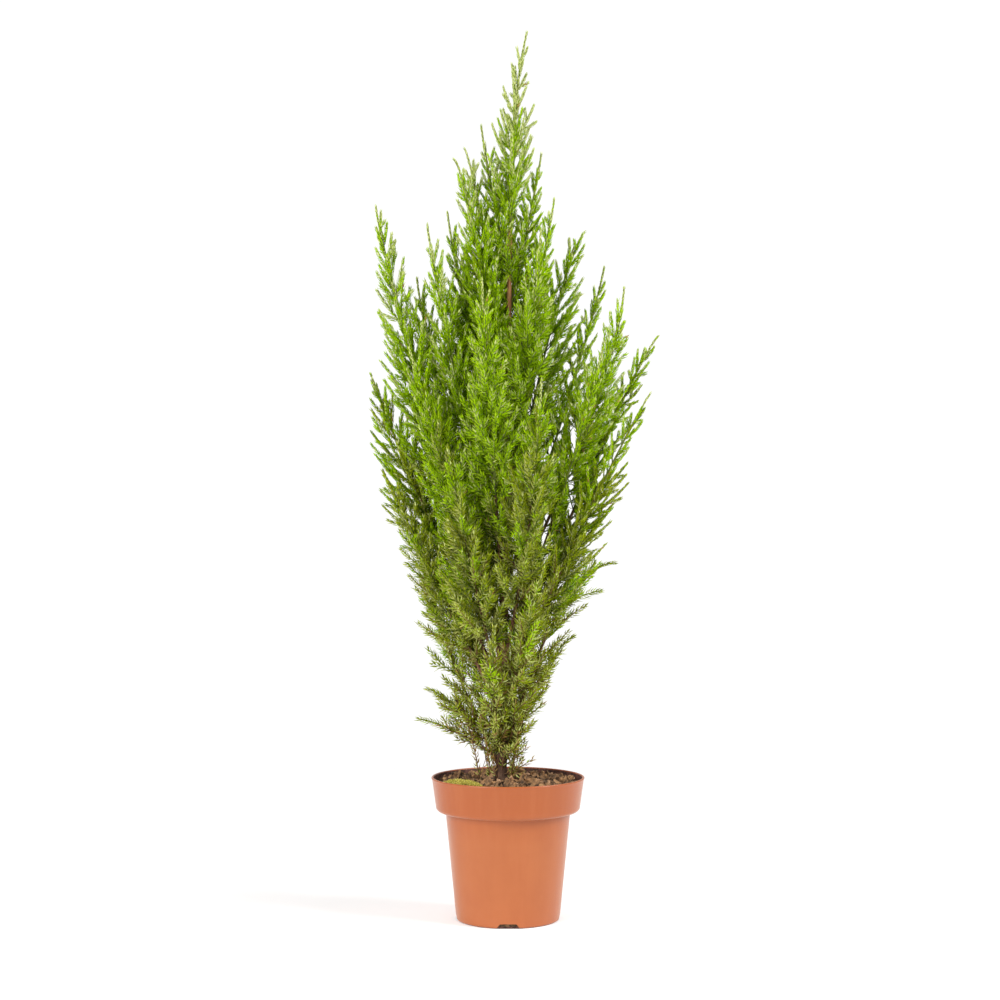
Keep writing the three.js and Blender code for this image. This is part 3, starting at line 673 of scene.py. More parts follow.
def barked_rod(bm, points, radii, sides):
    """Extrudes a ring along the points, tapering and turning with them, then raises the bark on it."""
    centres = [Vector(point) for point in points]
    ways = [(b - a).normalized() for a, b in zip(centres, centres[1:])]
    ways.append(ways[-1])
    ring = bmesh.ops.create_circle(bm, cap_ends=True, segments=sides, radius=radii[0])["verts"]
    bmesh.ops.translate(bm, verts=ring, vec=centres[0])
    rings = [ring]
    edges = [edge for edge in bm.edges if edge.verts[0] in ring and edge.verts[1] in ring]
    for i in range(1, len(centres)):
        grown = bmesh.ops.extrude_edge_only(bm, edges=edges)["geom"]
        ring = [part for part in grown if isinstance(part, bmesh.types.BMVert)]
        edges = [part for part in grown if isinstance(part, bmesh.types.BMEdge)]
        edges = [edge for edge in edges if edge.verts[0] in ring and edge.verts[1] in ring]
        bmesh.ops.translate(bm, verts=ring, vec=centres[i] - centres[i - 1])
        about = Matrix.Translation(-centres[i])
        size = radii[i] / radii[i - 1]
        bmesh.ops.scale(bm, verts=ring, vec=(size, size, size), space=about)
        turn = ways[i - 1].rotation_difference(ways[i]).to_matrix()
        bmesh.ops.rotate(bm, verts=ring, cent=centres[i], matrix=turn)
        rings.append(ring)
    bmesh.ops.edgeloop_fill(bm, edges=edges)
    for ring, centre, radius in zip(rings, centres, radii):
        for corner in ring:
            corner.co += (corner.co - centre) * bark_relief(corner.co, radius)


def bark_finish():
    """Grey-brown ridges over reddish inner bark, with dark splits drawn out along the stem."""
    finish, tree, shader = new_finish("fibrous_bark")
    ridge = add_mottle(tree, 300, BARK_GRAIN, low=0.36, high=0.62)
    split = add_mottle(tree, 480, BARK_GRAIN, low=0.58, high=0.7)
    patch = add_mottle(tree, 55, (1, 1, 0.5), low=0.4, high=0.65)
    upper = height_mask(tree, BARK_DARK_TO, BARK_RED_FROM)
    colour = blend_colours(tree, patch, paint(98, 78, 60), paint(104, 70, 48))
    colour = blend_colours(tree, upper, colour, paint(204, 146, 100))
    ridges = blend_colours(tree, upper, paint(78, 54, 40), paint(168, 106, 72))
    colour = blend_colours(tree, ridge, colour, ridges)
    colour = blend_colours(tree, split, colour, paint(42, 29, 22))
    grain = add_mottle(tree, 420, BARK_GRAIN, low=0.2, high=0.8)
    feed(shader, {"Base Color": colour, "Roughness": 0.88, "Normal": raised(tree, grain, 0.7, 0.0012)})
    return finish


bark = bark_finish()
trunk_heights = np.arange(0, TRUNK_TOP + 1e-6, TRUNK_RING_PITCH)
trunk_shape = bmesh.new()
barked_rod(trunk_shape, trunk_point(trunk_heights) + PLANT_FOOT, trunk_radius(trunk_heights), TRUNK_SIDES)
for corner in trunk_shape.verts:
    if corner.co.z < PLANT_FOOT[2] + 1e-4:
        corner.co.z = PLANT_FOOT[2] - TRUNK_SUNK
bmesh.ops.recalc_face_normals(trunk_shape, faces=trunk_shape.faces)
fit_piece(piece_from(trunk_shape, "trunk_bark", bark, smooth_angle=70), "bark", "trunk")

STRIP_COUNT = 300
STRIP_LOWEST, STRIP_SPAN, STRIP_CROWDING = 0.004, 0.5, 1.3
STRIP_LIFTS, STRIP_STRAY = (0.02, 0.2), 0.12
STRIP_LENGTHS, STRIP_WIDTHS = (0.006, 0.02), (0.0012, 0.003)
STRIP_ROOT, STRIP_KEEL = 0.97, 0.12
draw = np.random.default_rng(70)
strip_heights = STRIP_LOWEST + STRIP_SPAN * draw.uniform(0, 1, STRIP_COUNT) ** STRIP_CROWDING
strip_turns = draw.uniform(0, 2 * np.pi, STRIP_COUNT)
strip_out = np.stack([np.cos(strip_turns), np.sin(strip_turns), np.zeros(STRIP_COUNT)], axis=1)
strip_side = np.stack([-np.sin(strip_turns), np.cos(strip_turns), np.zeros(STRIP_COUNT)], axis=1)
strip_rise = draw.choice([-1.0, 1.0], STRIP_COUNT)[:, None] * np.array([0.0, 0.0, 1.0])
strip_lift = strip_out * draw.uniform(*STRIP_LIFTS, (STRIP_COUNT, 1))
strip_stray = strip_side * draw.normal(0, STRIP_STRAY, (STRIP_COUNT, 1))
strip_along = unit(strip_rise + strip_lift + strip_stray)
strip_across = unit(np.cross(strip_out, strip_along))
strip_foot = strip_out * trunk_radius(strip_heights)[:, None] * STRIP_ROOT
strip_roots = trunk_point(strip_heights) + PLANT_FOOT + strip_foot
strip_lengths = np.minimum(draw.uniform(*STRIP_LENGTHS, STRIP_COUNT), 0.8 * strip_heights + STRIP_LOWEST)
strip_widths = draw.uniform(*STRIP_WIDTHS, STRIP_COUNT)
strip_shapes = kites(strip_roots, strip_along, strip_across, strip_lengths, strip_widths, keel=STRIP_KEEL)
strip_colours = (paint(120, 84, 58), paint(84, 58, 42))
strip_finish = mottled_finish("bark_strip", strip_colours, 200, (1, 1, 0.2), roughness=(0.8, 0.95))
fit_piece(joined_piece("trunk_bark_strips", *strip_shapes, strip_finish), "bark")

# The boughs: short woody limbs that leave the trunk and carry the heaviest masses of foliage. Every limb,
# with a bough or without, follows one rule: it swings outwards from its root and rises to its tip.
LEADER_GAP = 0.0003
WOOD_SHARE, WOOD_OVERLAP = 0.2, 0.01
SWIRL = 16
BOW_LEAST, BOW_MOST, BOW_START, BOW_PER_SLOPE = 0.85, 1.15, 0.75, 0.12
BOUGH_ROOT_RADIUS = 0.0032
STEM_RADIUS = 0.002
BOUGH_RINGS, BOUGH_SIDES = 16, 10
# name, height of its root, azimuth in degrees, reach, height of its tip, bow if not the rule's, has a bough
LIMBS = [
    ("right_foot", 0.016, 12, 0.084, 0.160, 0.7, False),
    ("right_low", 0.010, 350, 0.128, 0.244, 0.5, False),
    ("right_mid", 0.066, 18, 0.118, 0.326, 0.9, True),
    ("right_flare", 0.084, 345, 0.168, 0.430, 0.94, True),
    ("right_outer", 0.108, 8, 0.177, 0.498, 0.88, True),
    ("right_tall", 0.190, 338, 0.142, 0.545, 1.4, True),
    ("right_inner", 0.262, 22, 0.098, 0.618, 0.75, True),
    ("right_top", 0.420, 350, 0.053, 0.648, None, False),
    ("right_crown", 0.520, 20, 0.039, 0.702, None, False),
    ("right_front", 0.140, 322, 0.136, 0.476, None, False),
    ("right_rear", 0.210, 34, 0.140, 0.582, None, False),
    ("left_foot", 0.024, 182, 0.092, 0.069, 0.7, False),
    ("left_low", 0.034, 192, 0.084, 0.104, 0.75, False),
    ("left_base", 0.010, 148, 0.108, 0.262, 1.5, False),
    ("left_mid", 0.074, 190, 0.134, 0.346, None, True),
    ("left_flare", 0.098, 172, 0.150, 0.456, None, True),
    ("left_spire", 0.130, 186, 0.142, 0.640, 1.15, True),
    ("left_inner", 0.322, 164, 0.068, 0.637, None, True),
    ("left_top", 0.430, 194, 0.049, 0.704, 0.75, False),
    ("left_crown", 0.560, 168, 0.032, 0.732, None, False),
    ("left_front", 0.150, 216, 0.126, 0.478, None, False),
    ("left_tall", 0.205, 200, 0.090, 0.617, None, False),
    ("left_rear", 0.170, 158, 0.106, 0.566, None, False),
    ("front_foot", 0.028, 264, 0.074, 0.176, None, False),
    ("front_low", 0.058, 298, 0.098, 0.240, None, False),
    ("front_mid", 0.090, 240, 0.116, 0.366, None, True),
    ("front_flare", 0.120, 288, 0.132, 0.440, None, True),
    ("front_tall", 0.178, 258, 0.112, 0.548, None, True),
    ("front_inner", 0.280, 296, 0.088, 0.606, None, True),
    ("front_top", 0.392, 212, 0.068, 0.688, 0.7, False),
    ("back_foot", 0.030, 72, 0.078, 0.182, None, False),
    ("back_low", 0.062, 124, 0.102, 0.236, None, False),
    ("back_mid", 0.094, 58, 0.120, 0.380, None, True),
    ("back_flare", 0.126, 106, 0.134, 0.452, None, True),
    ("back_tall", 0.184, 76, 0.116, 0.562, None, True),
    ("back_inner", 0.280, 120, 0.090, 0.610, None, True),
    ("back_top", 0.400, 84, 0.058, 0.670, None, False),
    ("leader", TRUNK_TOP, 0, 0.040, PLANT_HEIGHT, None, False),
]
LIMB_COUNT = len(LIMBS)
LEADER = LIMB_COUNT - 1


def vary(number, index):
    """A repeatable number from 0 to 1 for a limb's number and a place along it."""
    wave = np.sin(number * 127.1 + index * 311.7) * 43758.5453
    return wave - np.floor(wave)


def limb_points(limb, t):
    """The points at shares t along a limb, from the trunk's axis to the limb's tip."""
    _, root, azimuth, reach, top, bow, _ = LIMBS[limb]
    t = np.asarray(t, dtype=float)
    if limb == LEADER:
        return trunk_point(TRUNK_TOP + LEADER_GAP + (PLANT_HEIGHT - TRUNK_TOP - LEADER_GAP) * t)
    if bow is None:
        bow = min(max(BOW_START + BOW_PER_SLOPE * (top - root) / reach, BOW_LEAST), BOW_MOST)
    spread = reach * (1 - (1 - t) ** bow)
    swirl = SWIRL * (2 * vary(limb + 1, 0) - 1)
    turn = np.radians(azimuth + swirl * (t - 1))
    foot = trunk_point(root)
    rise = root + (top - root) * t
    return np.stack([foot[0] + spread * np.cos(turn), foot[1] + spread * np.sin(turn), rise], axis=-1)


bough_limbs = [limb for limb in range(LIMB_COUNT) if LIMBS[limb][6]]
bough_radii = np.linspace(BOUGH_ROOT_RADIUS, STEM_RADIUS, BOUGH_RINGS)
bough_shape = bmesh.new()
for limb in bough_limbs:
    bough_points = limb_points(limb, np.linspace(0.0, WOOD_SHARE + WOOD_OVERLAP, BOUGH_RINGS))
    barked_rod(bough_shape, bough_points + PLANT_FOOT, bough_radii, BOUGH_SIDES)
bmesh.ops.recalc_face_normals(bough_shape, faces=bough_shape.faces)
bough_nodes = [f"bough_{LIMBS[limb][0]}" for limb in bough_limbs]
fit_piece(piece_from(bough_shape, "boughs_bark", bark, smooth_angle=70), "bark", *bough_nodes)

# The twigs: each limb runs on as a thin stem, with a shoot every few millimetres turned round it by the
# golden angle, and finer branchlets along each shoot. Sprigs hug the foot of the trunk, and thin stems come
# up beside it. Wood is brown low down and inside, and green in young growth.
STEM_TIP_RADIUS = 0.0008
STEM_SAMPLES, AXIS_SAMPLES, LENGTH_SAMPLES = 400, 25, 201
GOLDEN_ANGLE = 137.508
SHOOT_PITCH, SHOOT_STEP = 0.0074, 0.5
SHOOT_JITTER = 40
SHOOT_STEM_SHARE, SHOOT_TIP_SHARE = 0.3, 0.12
SHOOT_SPREAD_LEAST, SHOOT_SPREAD_RANGE = 0.8, 0.35
SHOOT_UPTURN, BRANCHLET_UPTURN = 0.5, 0.3
# how shoots stand on a limb: the bare length at its tip, the share with twice as many, their angle at its
# foot and at its tip, their least and most full length, and how fast they shorten towards its tip
LIMB_HABIT = {"bare": 0.030, "crowded": 0.6, "angles": (50, 20), "length": (0.046, 0.090), "taper": 0.9}
LEADER_HABIT = {"bare": 0.026, "crowded": 0.42, "angles": (34, 26), "length": (0.090, 0.090), "taper": 1.5}
# how far a shoot is shortened at most and at each try, and where along it the room is tried
SHORTEST_SHOOT, LEAST_SHARE, SHORTEN_STEP = 0.006, 0.12, 0.85
ROOM_TESTS = (0.4, 0.7, 1.0)
# limbs that start lower than this have shorter shoots near their feet
BASE_HEIGHT, BASE_SHARE, BASE_STRETCH = 0.06, 0.55, (0.1, 0.5)
PLUME_FOOT_SHARE, PLUME_TIP = 0.32, 0.009
LOWEST_TWIG, TRUNK_MARGIN = 0.001, 0.001
SHOOT_MARGIN, BRANCHLET_MARGIN = -0.009, -0.015
OPENING_EASE = 0.55
# how full a limb's shoots are: under 1 where sky shows between them, over 1 where they close up with the next
LIMB_FULLNESS = {
    "right_low": 0.9, "right_mid": 0.65, "right_front": 0.85, "right_rear": 0.95, "right_inner": 1.25,
    "right_top": 1.2, "right_tall": 1.2, "left_foot": 0.8, "left_low": 1.5, "left_base": 0.85,
    "left_flare": 1.5, "left_spire": 1.3, "left_rear": 1.5, "left_tall": 1.3, "back_mid": 0.65,
}
# where sky shows through the crown: the foot and head of each slit as seen from the front, and half its width
SLITS = [
    ((0.080, 0.292), (0.078, 0.348), 0.0050),
    ((0.049, 0.264), (0.052, 0.297), 0.0060),
    ((0.122, 0.355), (0.138, 0.381), 0.0040),
    ((0.033, 0.410), (0.042, 0.452), 0.0040),
    ((0.054, 0.368), (0.069, 0.399), 0.0040),
    ((0.081, 0.370), (0.081, 0.401), 0.0040),
    ((0.109, 0.336), (0.120, 0.349), 0.0040),
    ((0.050, 0.475), (0.057, 0.499), 0.0044),
    ((0.110, 0.484), (0.113, 0.518), 0.0040),
    ((-0.0183, 0.015), (-0.0215, 0.052), 0.0032),
    ((0.048, 0.153), (0.074, 0.172), 0.0050),
    ((0.074, 0.172), (0.094, 0.186), 0.0060),
    ((0.102, 0.224), (0.126, 0.230), 0.0035),
    ((0.102, 0.262), (0.124, 0.276), 0.0080),
]
# where the foliage in front parts and lets the wood behind it show, and how far forward of the axis it parts
WINDOWS = [((0.011, 0.530), (0.011, 0.550), 0.0085), ((-0.003, 0.292), (-0.009, 0.362), 0.0036)]
WINDOW_FRONT = -0.004

limb_axes = np.stack([limb_points(limb, np.linspace(0, 1, AXIS_SAMPLES)) for limb in range(LIMB_COUNT)])
limb_samples = [limb_points(limb, np.linspace(0, 1, LENGTH_SAMPLES)) for limb in range(LIMB_COUNT)]
limb_lengths = np.array([np.linalg.norm(np.diff(row, axis=0), axis=1).sum() for row in limb_samples])
limb_roots = np.array([row[1] for row in LIMBS])
limb_reaches = np.array([row[3] for row in LIMBS])


def nearest_on_limbs(points):
    """Distance from each point to each limb's axis, and the share along that limb where it is nearest."""
    distances = np.empty((len(points), LIMB_COUNT))
    shares = np.empty_like(distances)
    for limb, axis in enumerate(limb_axes):
        starts, steps = axis[:-1], np.diff(axis, axis=0)
        part = np.einsum("nsk,sk->ns", points[:, None] - starts, steps) / (steps**2).sum(axis=1)
        part = np.clip(part, 0, 1)
        gap = np.linalg.norm(points[:, None] - starts - part[..., None] * steps, axis=2)
        best = gap.argmin(axis=1)
        rows = np.arange(len(points))
        distances[:, limb] = gap[rows, best]
        shares[:, limb] = (best + part[rows, best]) / (AXIS_SAMPLES - 1)
    return distances, shares


def front_gap(points, foot, head):
    """How far each point stands from a line between two places, as both are seen from the front."""
    nearer = EYE[1] / (EYE[1] - points[:, 1])
    eye = np.array([EYE[0] - PLANT_FOOT[0], EYE[2] - PLANT_FOOT[2]])
    seen = eye + (points[:, [0, 2]] - eye) * nearer[:, None]
    foot, head = np.array(foot), np.array(head)
    share = np.clip((seen - foot) @ (head - foot) / ((head - foot) ** 2).sum(), 0, 1)
    return np.linalg.norm(seen - foot - share[:, None] * (head - foot), axis=1)


def in_opening(points, ease):
    """Whether each point lies where the crown stands open, with every opening's width eased by a share."""
    inside = np.zeros(len(points), dtype=bool)
    for foot, head, half in SLITS:
        inside |= front_gap(points, foot, head) < half * ease
    for foot, head, half in WINDOWS:
        inside |= (front_gap(points, foot, head) < half * ease * ease) & (points[:, 1] < WINDOW_FRONT)
    return inside


def in_own_space(points, owners, margin):
    """Whether each point keeps to the tapering space of the limb that owns it, and clear of openings."""
    rows = np.arange(len(points))
    distances, shares = nearest_on_limbs(points)
    own, share = distances[rows, owners], shares[rows, owners]
    distances[rows, owners] = np.inf
    others = distances.min(axis=1)
    spread = np.linalg.norm((points - trunk_point(limb_roots[owners]))[:, :2], axis=1)
    foot_width = PLUME_FOOT_SHARE * limb_lengths[owners]
    level = np.minimum(points[:, 2], TRUNK_TOP)
    from_trunk = np.linalg.norm(points - trunk_point(level), axis=1)
    inside = (spread <= limb_reaches[owners]) & (points[:, 2] >= LOWEST_TWIG) & (points[:, 2] <= PLANT_HEIGHT)
    inside &= own <= foot_width + (PLUME_TIP - foot_width) * share
    inside &= from_trunk >= trunk_radius(level) + TRUNK_MARGIN
    return inside & (others > own + margin) & ~in_opening(points, OPENING_EASE)


class Stem:
    """A limb's stem beyond its bough, measured along its length."""

    def __init__(self, limb):
        start = WOOD_SHARE + SOIL_GAP / limb_lengths[limb] if limb in bough_limbs else 0.0
        self.points = limb_points(limb, np.linspace(start, 1, STEM_SAMPLES))
        steps = np.linalg.norm(np.diff(self.points, axis=0), axis=1)
        self.measure = np.concatenate([[0], np.cumsum(steps)])
        self.length = self.measure[-1]
        self.tangents = unit(np.gradient(self.points, self.measure, axis=0))

    def at(self, shares):
        """Points and directions at the given shares of the stem's length."""
        where = np.asarray(shares) * self.length
        columns = np.concatenate([self.points, self.tangents], axis=1).T
        found = np.stack([np.interp(where, self.measure, column) for column in columns], axis=-1)
        return found[..., :3], unit(found[..., 3:])


def shoots_of(limb, stem):
    """A limb's shoots at full length: start, way out, length, share along the stem, and limb."""
    name, root, azimuth = LIMBS[limb][:3]
    habit = LEADER_HABIT if limb == LEADER else LIMB_HABIT
    fullness = LIMB_FULLNESS.get(name, 1.0)
    index = np.arange(SHOOT_STEP, (stem.length - habit["bare"]) / SHOOT_PITCH, SHOOT_STEP)
    crowded = index * SHOOT_PITCH / stem.length < habit["crowded"] * (fullness >= 1.0)
    index = index[crowded | (index % 1 == 0)]
    places = index * SHOOT_PITCH / stem.length
    starts, tangents = stem.at(places)
    outward = np.array([math.cos(math.radians(azimuth)), math.sin(math.radians(azimuth)), 0.0])
    first = unit(outward - tangents * (tangents @ outward)[:, None])
    turn = np.radians(GOLDEN_ANGLE * index + SHOOT_JITTER * vary(limb + 1, index))[:, None]
    side = first * np.cos(turn) + np.cross(tangents, first) * np.sin(turn)
    foot_angle, tip_angle = habit["angles"]
    angle = np.radians(foot_angle + (tip_angle - foot_angle) * places)[:, None]
    longest = np.clip(SHOOT_STEM_SHARE * stem.length, *habit["length"])
    lengths = longest * (SHOOT_TIP_SHARE + (1 - SHOOT_TIP_SHARE) * (1 - places) ** habit["taper"])
    chance = SHOOT_SPREAD_LEAST + SHOOT_SPREAD_RANGE * vary(limb + 1, index + 0.5)
    if root < BASE_HEIGHT:
        chance = chance * (BASE_SHARE + (1 - BASE_SHARE) * smoothstep(places, *BASE_STRETCH))
    return {
        "start": starts,
        "leave": tangents * np.cos(angle) + side * np.sin(angle),
        "length": lengths * chance * fullness,
        "place": places,
        "limb": np.full(len(index), limb),
    }


def joined_twigs(*groups):
    """One set of twigs, a row each in every column, from several sets."""
    return {key: np.concatenate([group[key] for group in groups]) for key in groups[0]}


def picked_twigs(twigs, rows):
    return {key: column[rows] for key, column in twigs.items()}


def bent(starts, middles, ends, shares):
    """Points at the given shares along curves that leave start towards middle and arrive at end."""
    t = np.asarray(shares)[..., None]
    return (1 - t) ** 2 * starts[:, None] + 2 * t * (1 - t) * middles[:, None] + t**2 * ends[:, None]


def curved_up(starts, leave, lengths, upturn):
    """The middle and end points of twigs that leave at an angle and turn up towards the light."""
    middles = starts + leave * lengths[:, None] / 2
    ends = middles + unit(leave + np.array([0, 0, upturn])) * lengths[:, None] / 2
    return middles, ends


stems = [Stem(limb) for limb in range(LIMB_COUNT)]
shoots = joined_twigs(*[shoots_of(limb, stem) for limb, stem in enumerate(stems)])
has_room = np.zeros(len(shoots["start"]), dtype=bool)
shorten = 1.0
while shorten > LEAST_SHARE:
    waiting = np.flatnonzero(~has_room)
    starts, lengths = shoots["start"][waiting], shoots["length"][waiting] * shorten
    middles, ends = curved_up(starts, shoots["leave"][waiting], lengths, SHOOT_UPTURN)
    tests = bent(starts, middles, ends, ROOM_TESTS).reshape(-1, 3)
    owners = np.repeat(shoots["limb"][waiting], len(ROOM_TESTS))
    fits = in_own_space(tests, owners, SHOOT_MARGIN).reshape(-1, len(ROOM_TESTS)).all(axis=1)
    shoots["length"][waiting[fits]] *= shorten
    has_room[waiting[fits]] = True
    shorten *= SHORTEN_STEP
shoots = picked_twigs(shoots, has_room & (shoots["length"] > SHORTEST_SHOOT))

# count, heights and leans of the sprigs that stand out from the foot of the trunk, then of those that hug it
SPRIGS = [(7, (0.018, 0.085), (56, 30)), (20, (0.002, 0.075), (24, 12))]
SPRIG_FIRST_TURN = -12
SPRIG_LENGTH, SPRIG_SPREAD, SPRIG_ROOT = 0.028, (0.6, 1.0), 0.9
FOOT_PLACE = 0.2
draw = np.random.default_rng(75)
sprig_heights = np.concatenate([np.linspace(*heights, count) for count, heights, _ in SPRIGS])
sprig_lean = np.radians(np.concatenate([np.linspace(*leans, count) for count, _, leans in SPRIGS]))
sprig_count = len(sprig_heights)
sprig_turns = np.radians(GOLDEN_ANGLE * np.arange(sprig_count) + SPRIG_FIRST_TURN)
sprig_sides = np.sin(sprig_lean) * np.stack([np.cos(sprig_turns), np.sin(sprig_turns)])
sprig_leave = np.stack([*sprig_sides, np.cos(sprig_lean)], axis=1)
sprig_out = unit(sprig_leave * (1, 1, 0)) * trunk_radius(sprig_heights)[:, None] * SPRIG_ROOT
sprigs = {
    "start": trunk_point(sprig_heights) + sprig_out,
    "leave": sprig_leave,
    "length": SPRIG_LENGTH * draw.uniform(*SPRIG_SPREAD, sprig_count),
    "place": np.full(sprig_count, FOOT_PLACE),
    "limb": np.zeros(sprig_count, dtype=int),
}
shoots = joined_twigs(shoots, sprigs)
leave = shoots.pop("leave")
shoots["middle"], shoots["end"] = curved_up(shoots["start"], leave, shoots["length"], SHOOT_UPTURN)

# the foot, bend and end of each thin stem that comes up through the compost beside the trunk
FOOT_STEMS = [
    ((-0.0235, -0.006, -0.001), (-0.0275, -0.007, 0.038), (-0.041, -0.008, 0.078)),
    ((-0.011, -0.010, -0.001), (-0.014, -0.013, 0.035), (-0.022, -0.016, 0.074)),
    ((0.010, -0.008, -0.001), (0.018, -0.010, 0.034), (0.021, -0.012, 0.078)),
    ((0.012, 0.008, -0.001), (0.016, 0.010, 0.030), (0.024, 0.014, 0.070)),
    ((-0.012, 0.012, -0.001), (-0.018, 0.016, 0.036), (-0.030, 0.022, 0.076)),
    ((0.004, -0.006, 0.008), (0.018, -0.010, 0.013), (0.036, -0.012, 0.026)),
]
# and of each long spray that stands out level from the low right of the crown
SIDE_SPRAYS = [
    ((0.062, -0.010, 0.192), (0.090, -0.014, 0.210), (0.111, -0.016, 0.213)),
    ((0.056, -0.008, 0.168), (0.076, -0.010, 0.186), (0.094, -0.012, 0.196)),
]
single_stems = np.array(FOOT_STEMS + SIDE_SPRAYS)
shoots = joined_twigs(shoots, {
    "start": single_stems[:, 0],
    "middle": single_stems[:, 1],
    "end": single_stems[:, 2],
    "length": np.linalg.norm(np.diff(single_stems, axis=1), axis=2).sum(axis=1),
    "place": np.full(len(single_stems), FOOT_PLACE),
    "limb": np.zeros(len(single_stems), dtype=int),
})
shoot_count = len(shoots["start"])


def numbered(counts):
    """For owners that carry the given counts of things, the owner of each thing and its number there."""
    owners = np.repeat(np.arange(len(counts)), counts)
    return owners, np.arange(len(owners)) - np.repeat(np.cumsum(counts) - counts, counts)


def along_twigs(twigs, rows, shares):
    """Points and directions at one share along each of the given twigs."""
    a, b, c = (twigs[key][rows] for key in ("start", "middle", "end"))
    t = shares[:, None]
    return bent(a, b, c, t)[:, 0], unit((1 - t) * (b - a) + t * (c - b))


def round_about(tangents, turns):
    """Directions square to the tangents, turned round them."""
    steep = np.abs(tangents[:, 2:]) > 0.9
    helper = np.where(steep, np.array([1.0, 0.0, 0.0]), np.array([0.0, 0.0, 1.0]))
    first = unit(np.cross(helper, tangents))
    return first * np.cos(turns)[:, None] + np.cross(tangents, first) * np.sin(turns)[:, None]


BRANCHLET_PITCH, BRANCHLET_FIRST = 0.0115, 0.006
BRANCHLET_STRETCH, BRANCHLET_BARE = 0.8, 0.004
BRANCHLET_JITTER, BRANCHLET_ANGLES = 15, (26, 42)
BRANCHLET_LEAST, BRANCHLET_SHARE, BRANCHLET_MOST = 0.005, 0.4, 0.026
BRANCHLET_SPREAD = (0.7, 1.1)
draw = np.random.default_rng(80)
carrying = BRANCHLET_STRETCH * shoots["length"] - BRANCHLET_BARE
parents, order = numbered(np.maximum(0, (carrying / BRANCHLET_PITCH).astype(int)))
count = len(parents)
places = (BRANCHLET_FIRST + BRANCHLET_PITCH * order) / shoots["length"][parents]
starts, tangents = along_twigs(shoots, parents, places)
turns = GOLDEN_ANGLE * order + 360 * vary(parents + 1.0, 0.25) + draw.normal(0, BRANCHLET_JITTER, count)
angle = np.radians(draw.uniform(*BRANCHLET_ANGLES, count))[:, None]
leave = tangents * np.cos(angle) + round_about(tangents, np.radians(turns)) * np.sin(angle)
lengths = BRANCHLET_LEAST + BRANCHLET_SHARE * shoots["length"][parents] * (1 - places)
lengths = np.minimum(lengths * draw.uniform(*BRANCHLET_SPREAD, count), BRANCHLET_MOST)
middles, ends = curved_up(starts, leave, lengths, BRANCHLET_UPTURN)
branchlets = {"start": starts, "middle": middles, "end": ends, "length": lengths, "shoot": parents}
branchlets = picked_twigs(branchlets, in_own_space(ends, shoots["limb"][parents], BRANCHLET_MARGIN))

GREEN_WOOD_FROM, GREEN_WOOD_SHARES = 0.32, (0.02, 0.6)
BROWN_TWIGS_TO, BROWN_TWIGS_SPREAD = 0.16, 0.05
STEM_RINGS, STEM_SIDES, TWIG_SIDES = 28, 6, 3
STEM_TONES = [
    ("stems_brown", True, (paint(124, 92, 54), paint(84, 62, 36))),
    ("stems_green", False, (paint(120, 132, 50), paint(96, 104, 44))),
]
TWIG_TONES = [
    ("twigs_green", False, (paint(120, 136, 52), paint(92, 112, 40))),
    ("twigs_brown", True, (paint(146, 108, 70), paint(104, 76, 48))),
]
# kind, its twigs, the shoot that each belongs to, its radius at the foot and at the tip, and its rings
TWIG_KINDS = [
    ("shoots", shoots, np.arange(shoot_count), (0.0009, 0.0004), 4),
    ("branchlets", branchlets, branchlets["shoot"], (0.0005, 0.0003), 3),
]
foliage_nodes = [f"foliage_{row[0]}" for row in LIMBS]
for name, brown, colours in STEM_TONES:
    rows, radii = [], []
    for stem in stems:
        foot, tip = stem.points[0, 2], stem.points[-1, 2]
        turn = np.clip((GREEN_WOOD_FROM - foot) / (tip - foot), *GREEN_WOOD_SHARES)
        shares = np.linspace(0, turn, STEM_RINGS) if brown else np.linspace(turn, 1, STEM_RINGS)
        rows.append(stem.at(shares)[0])
        radii.append(STEM_RADIUS + (STEM_TIP_RADIUS - STEM_RADIUS) * shares)
    finish = mottled_finish(name, colours, 260, (1, 1, 0.25), roughness=(0.7, 0.9))
    shapes = rods(np.stack(rows) + PLANT_FOOT, np.stack(radii), STEM_SIDES)
    fit_piece(joined_piece(name, *shapes, finish, smooth=True), "bark", *foliage_nodes)

shoot_is_brown = shoots["start"][:, 2] + draw.normal(0, BROWN_TWIGS_SPREAD, shoot_count) < BROWN_TWIGS_TO
for name, brown, colours in TWIG_TONES:
    finish = mottled_finish(name, colours, 240, roughness=(0.6, 0.8))
    for kind, twigs, owners, radii, rings in TWIG_KINDS:
        pick = shoot_is_brown[owners] == brown
        ends = [twigs[key][pick] for key in ("start", "middle", "end")]
        taper = np.broadcast_to(np.linspace(*radii, rings), (pick.sum(), rings))
        shapes = rods(bent(*ends, np.linspace(0, 1, rings)) + PLANT_FOOT, taper, TWIG_SIDES)
        fit_piece(joined_piece(f"{name}_{kind}", *shapes, finish, smooth=True), "bark", *foliage_nodes)

# The needles: stiff pointed awls in whorls of three round every stem tip, shoot and branchlet, each with one
# paler inner face. They stand well out on old growth and lie close and short on the young spires. Each spray
# takes one of a few greens, with painted shade darkening it at its foot and inside the crown and painted
# light lightening it at its tip.
NEEDLES_A_WHORL = 3
NEEDLE_WAIST, NEEDLE_BOW, NEEDLE_GLOSS = 0.3, 0.38, 0.03
NEEDLE_ROOT = 0.0004
NEEDLE_FACES = (1, 0, 0, 0)
MOST_NEEDLES = 49000
# each on old growth, then on young growth
WHORL_PITCHES = (0.0032, 0.0025)
NEEDLE_LENGTHS, NEEDLE_WIDTHS, NEEDLE_ANGLES = (0.0100, 0.0072), (0.0019, 0.0017), (44, 14)
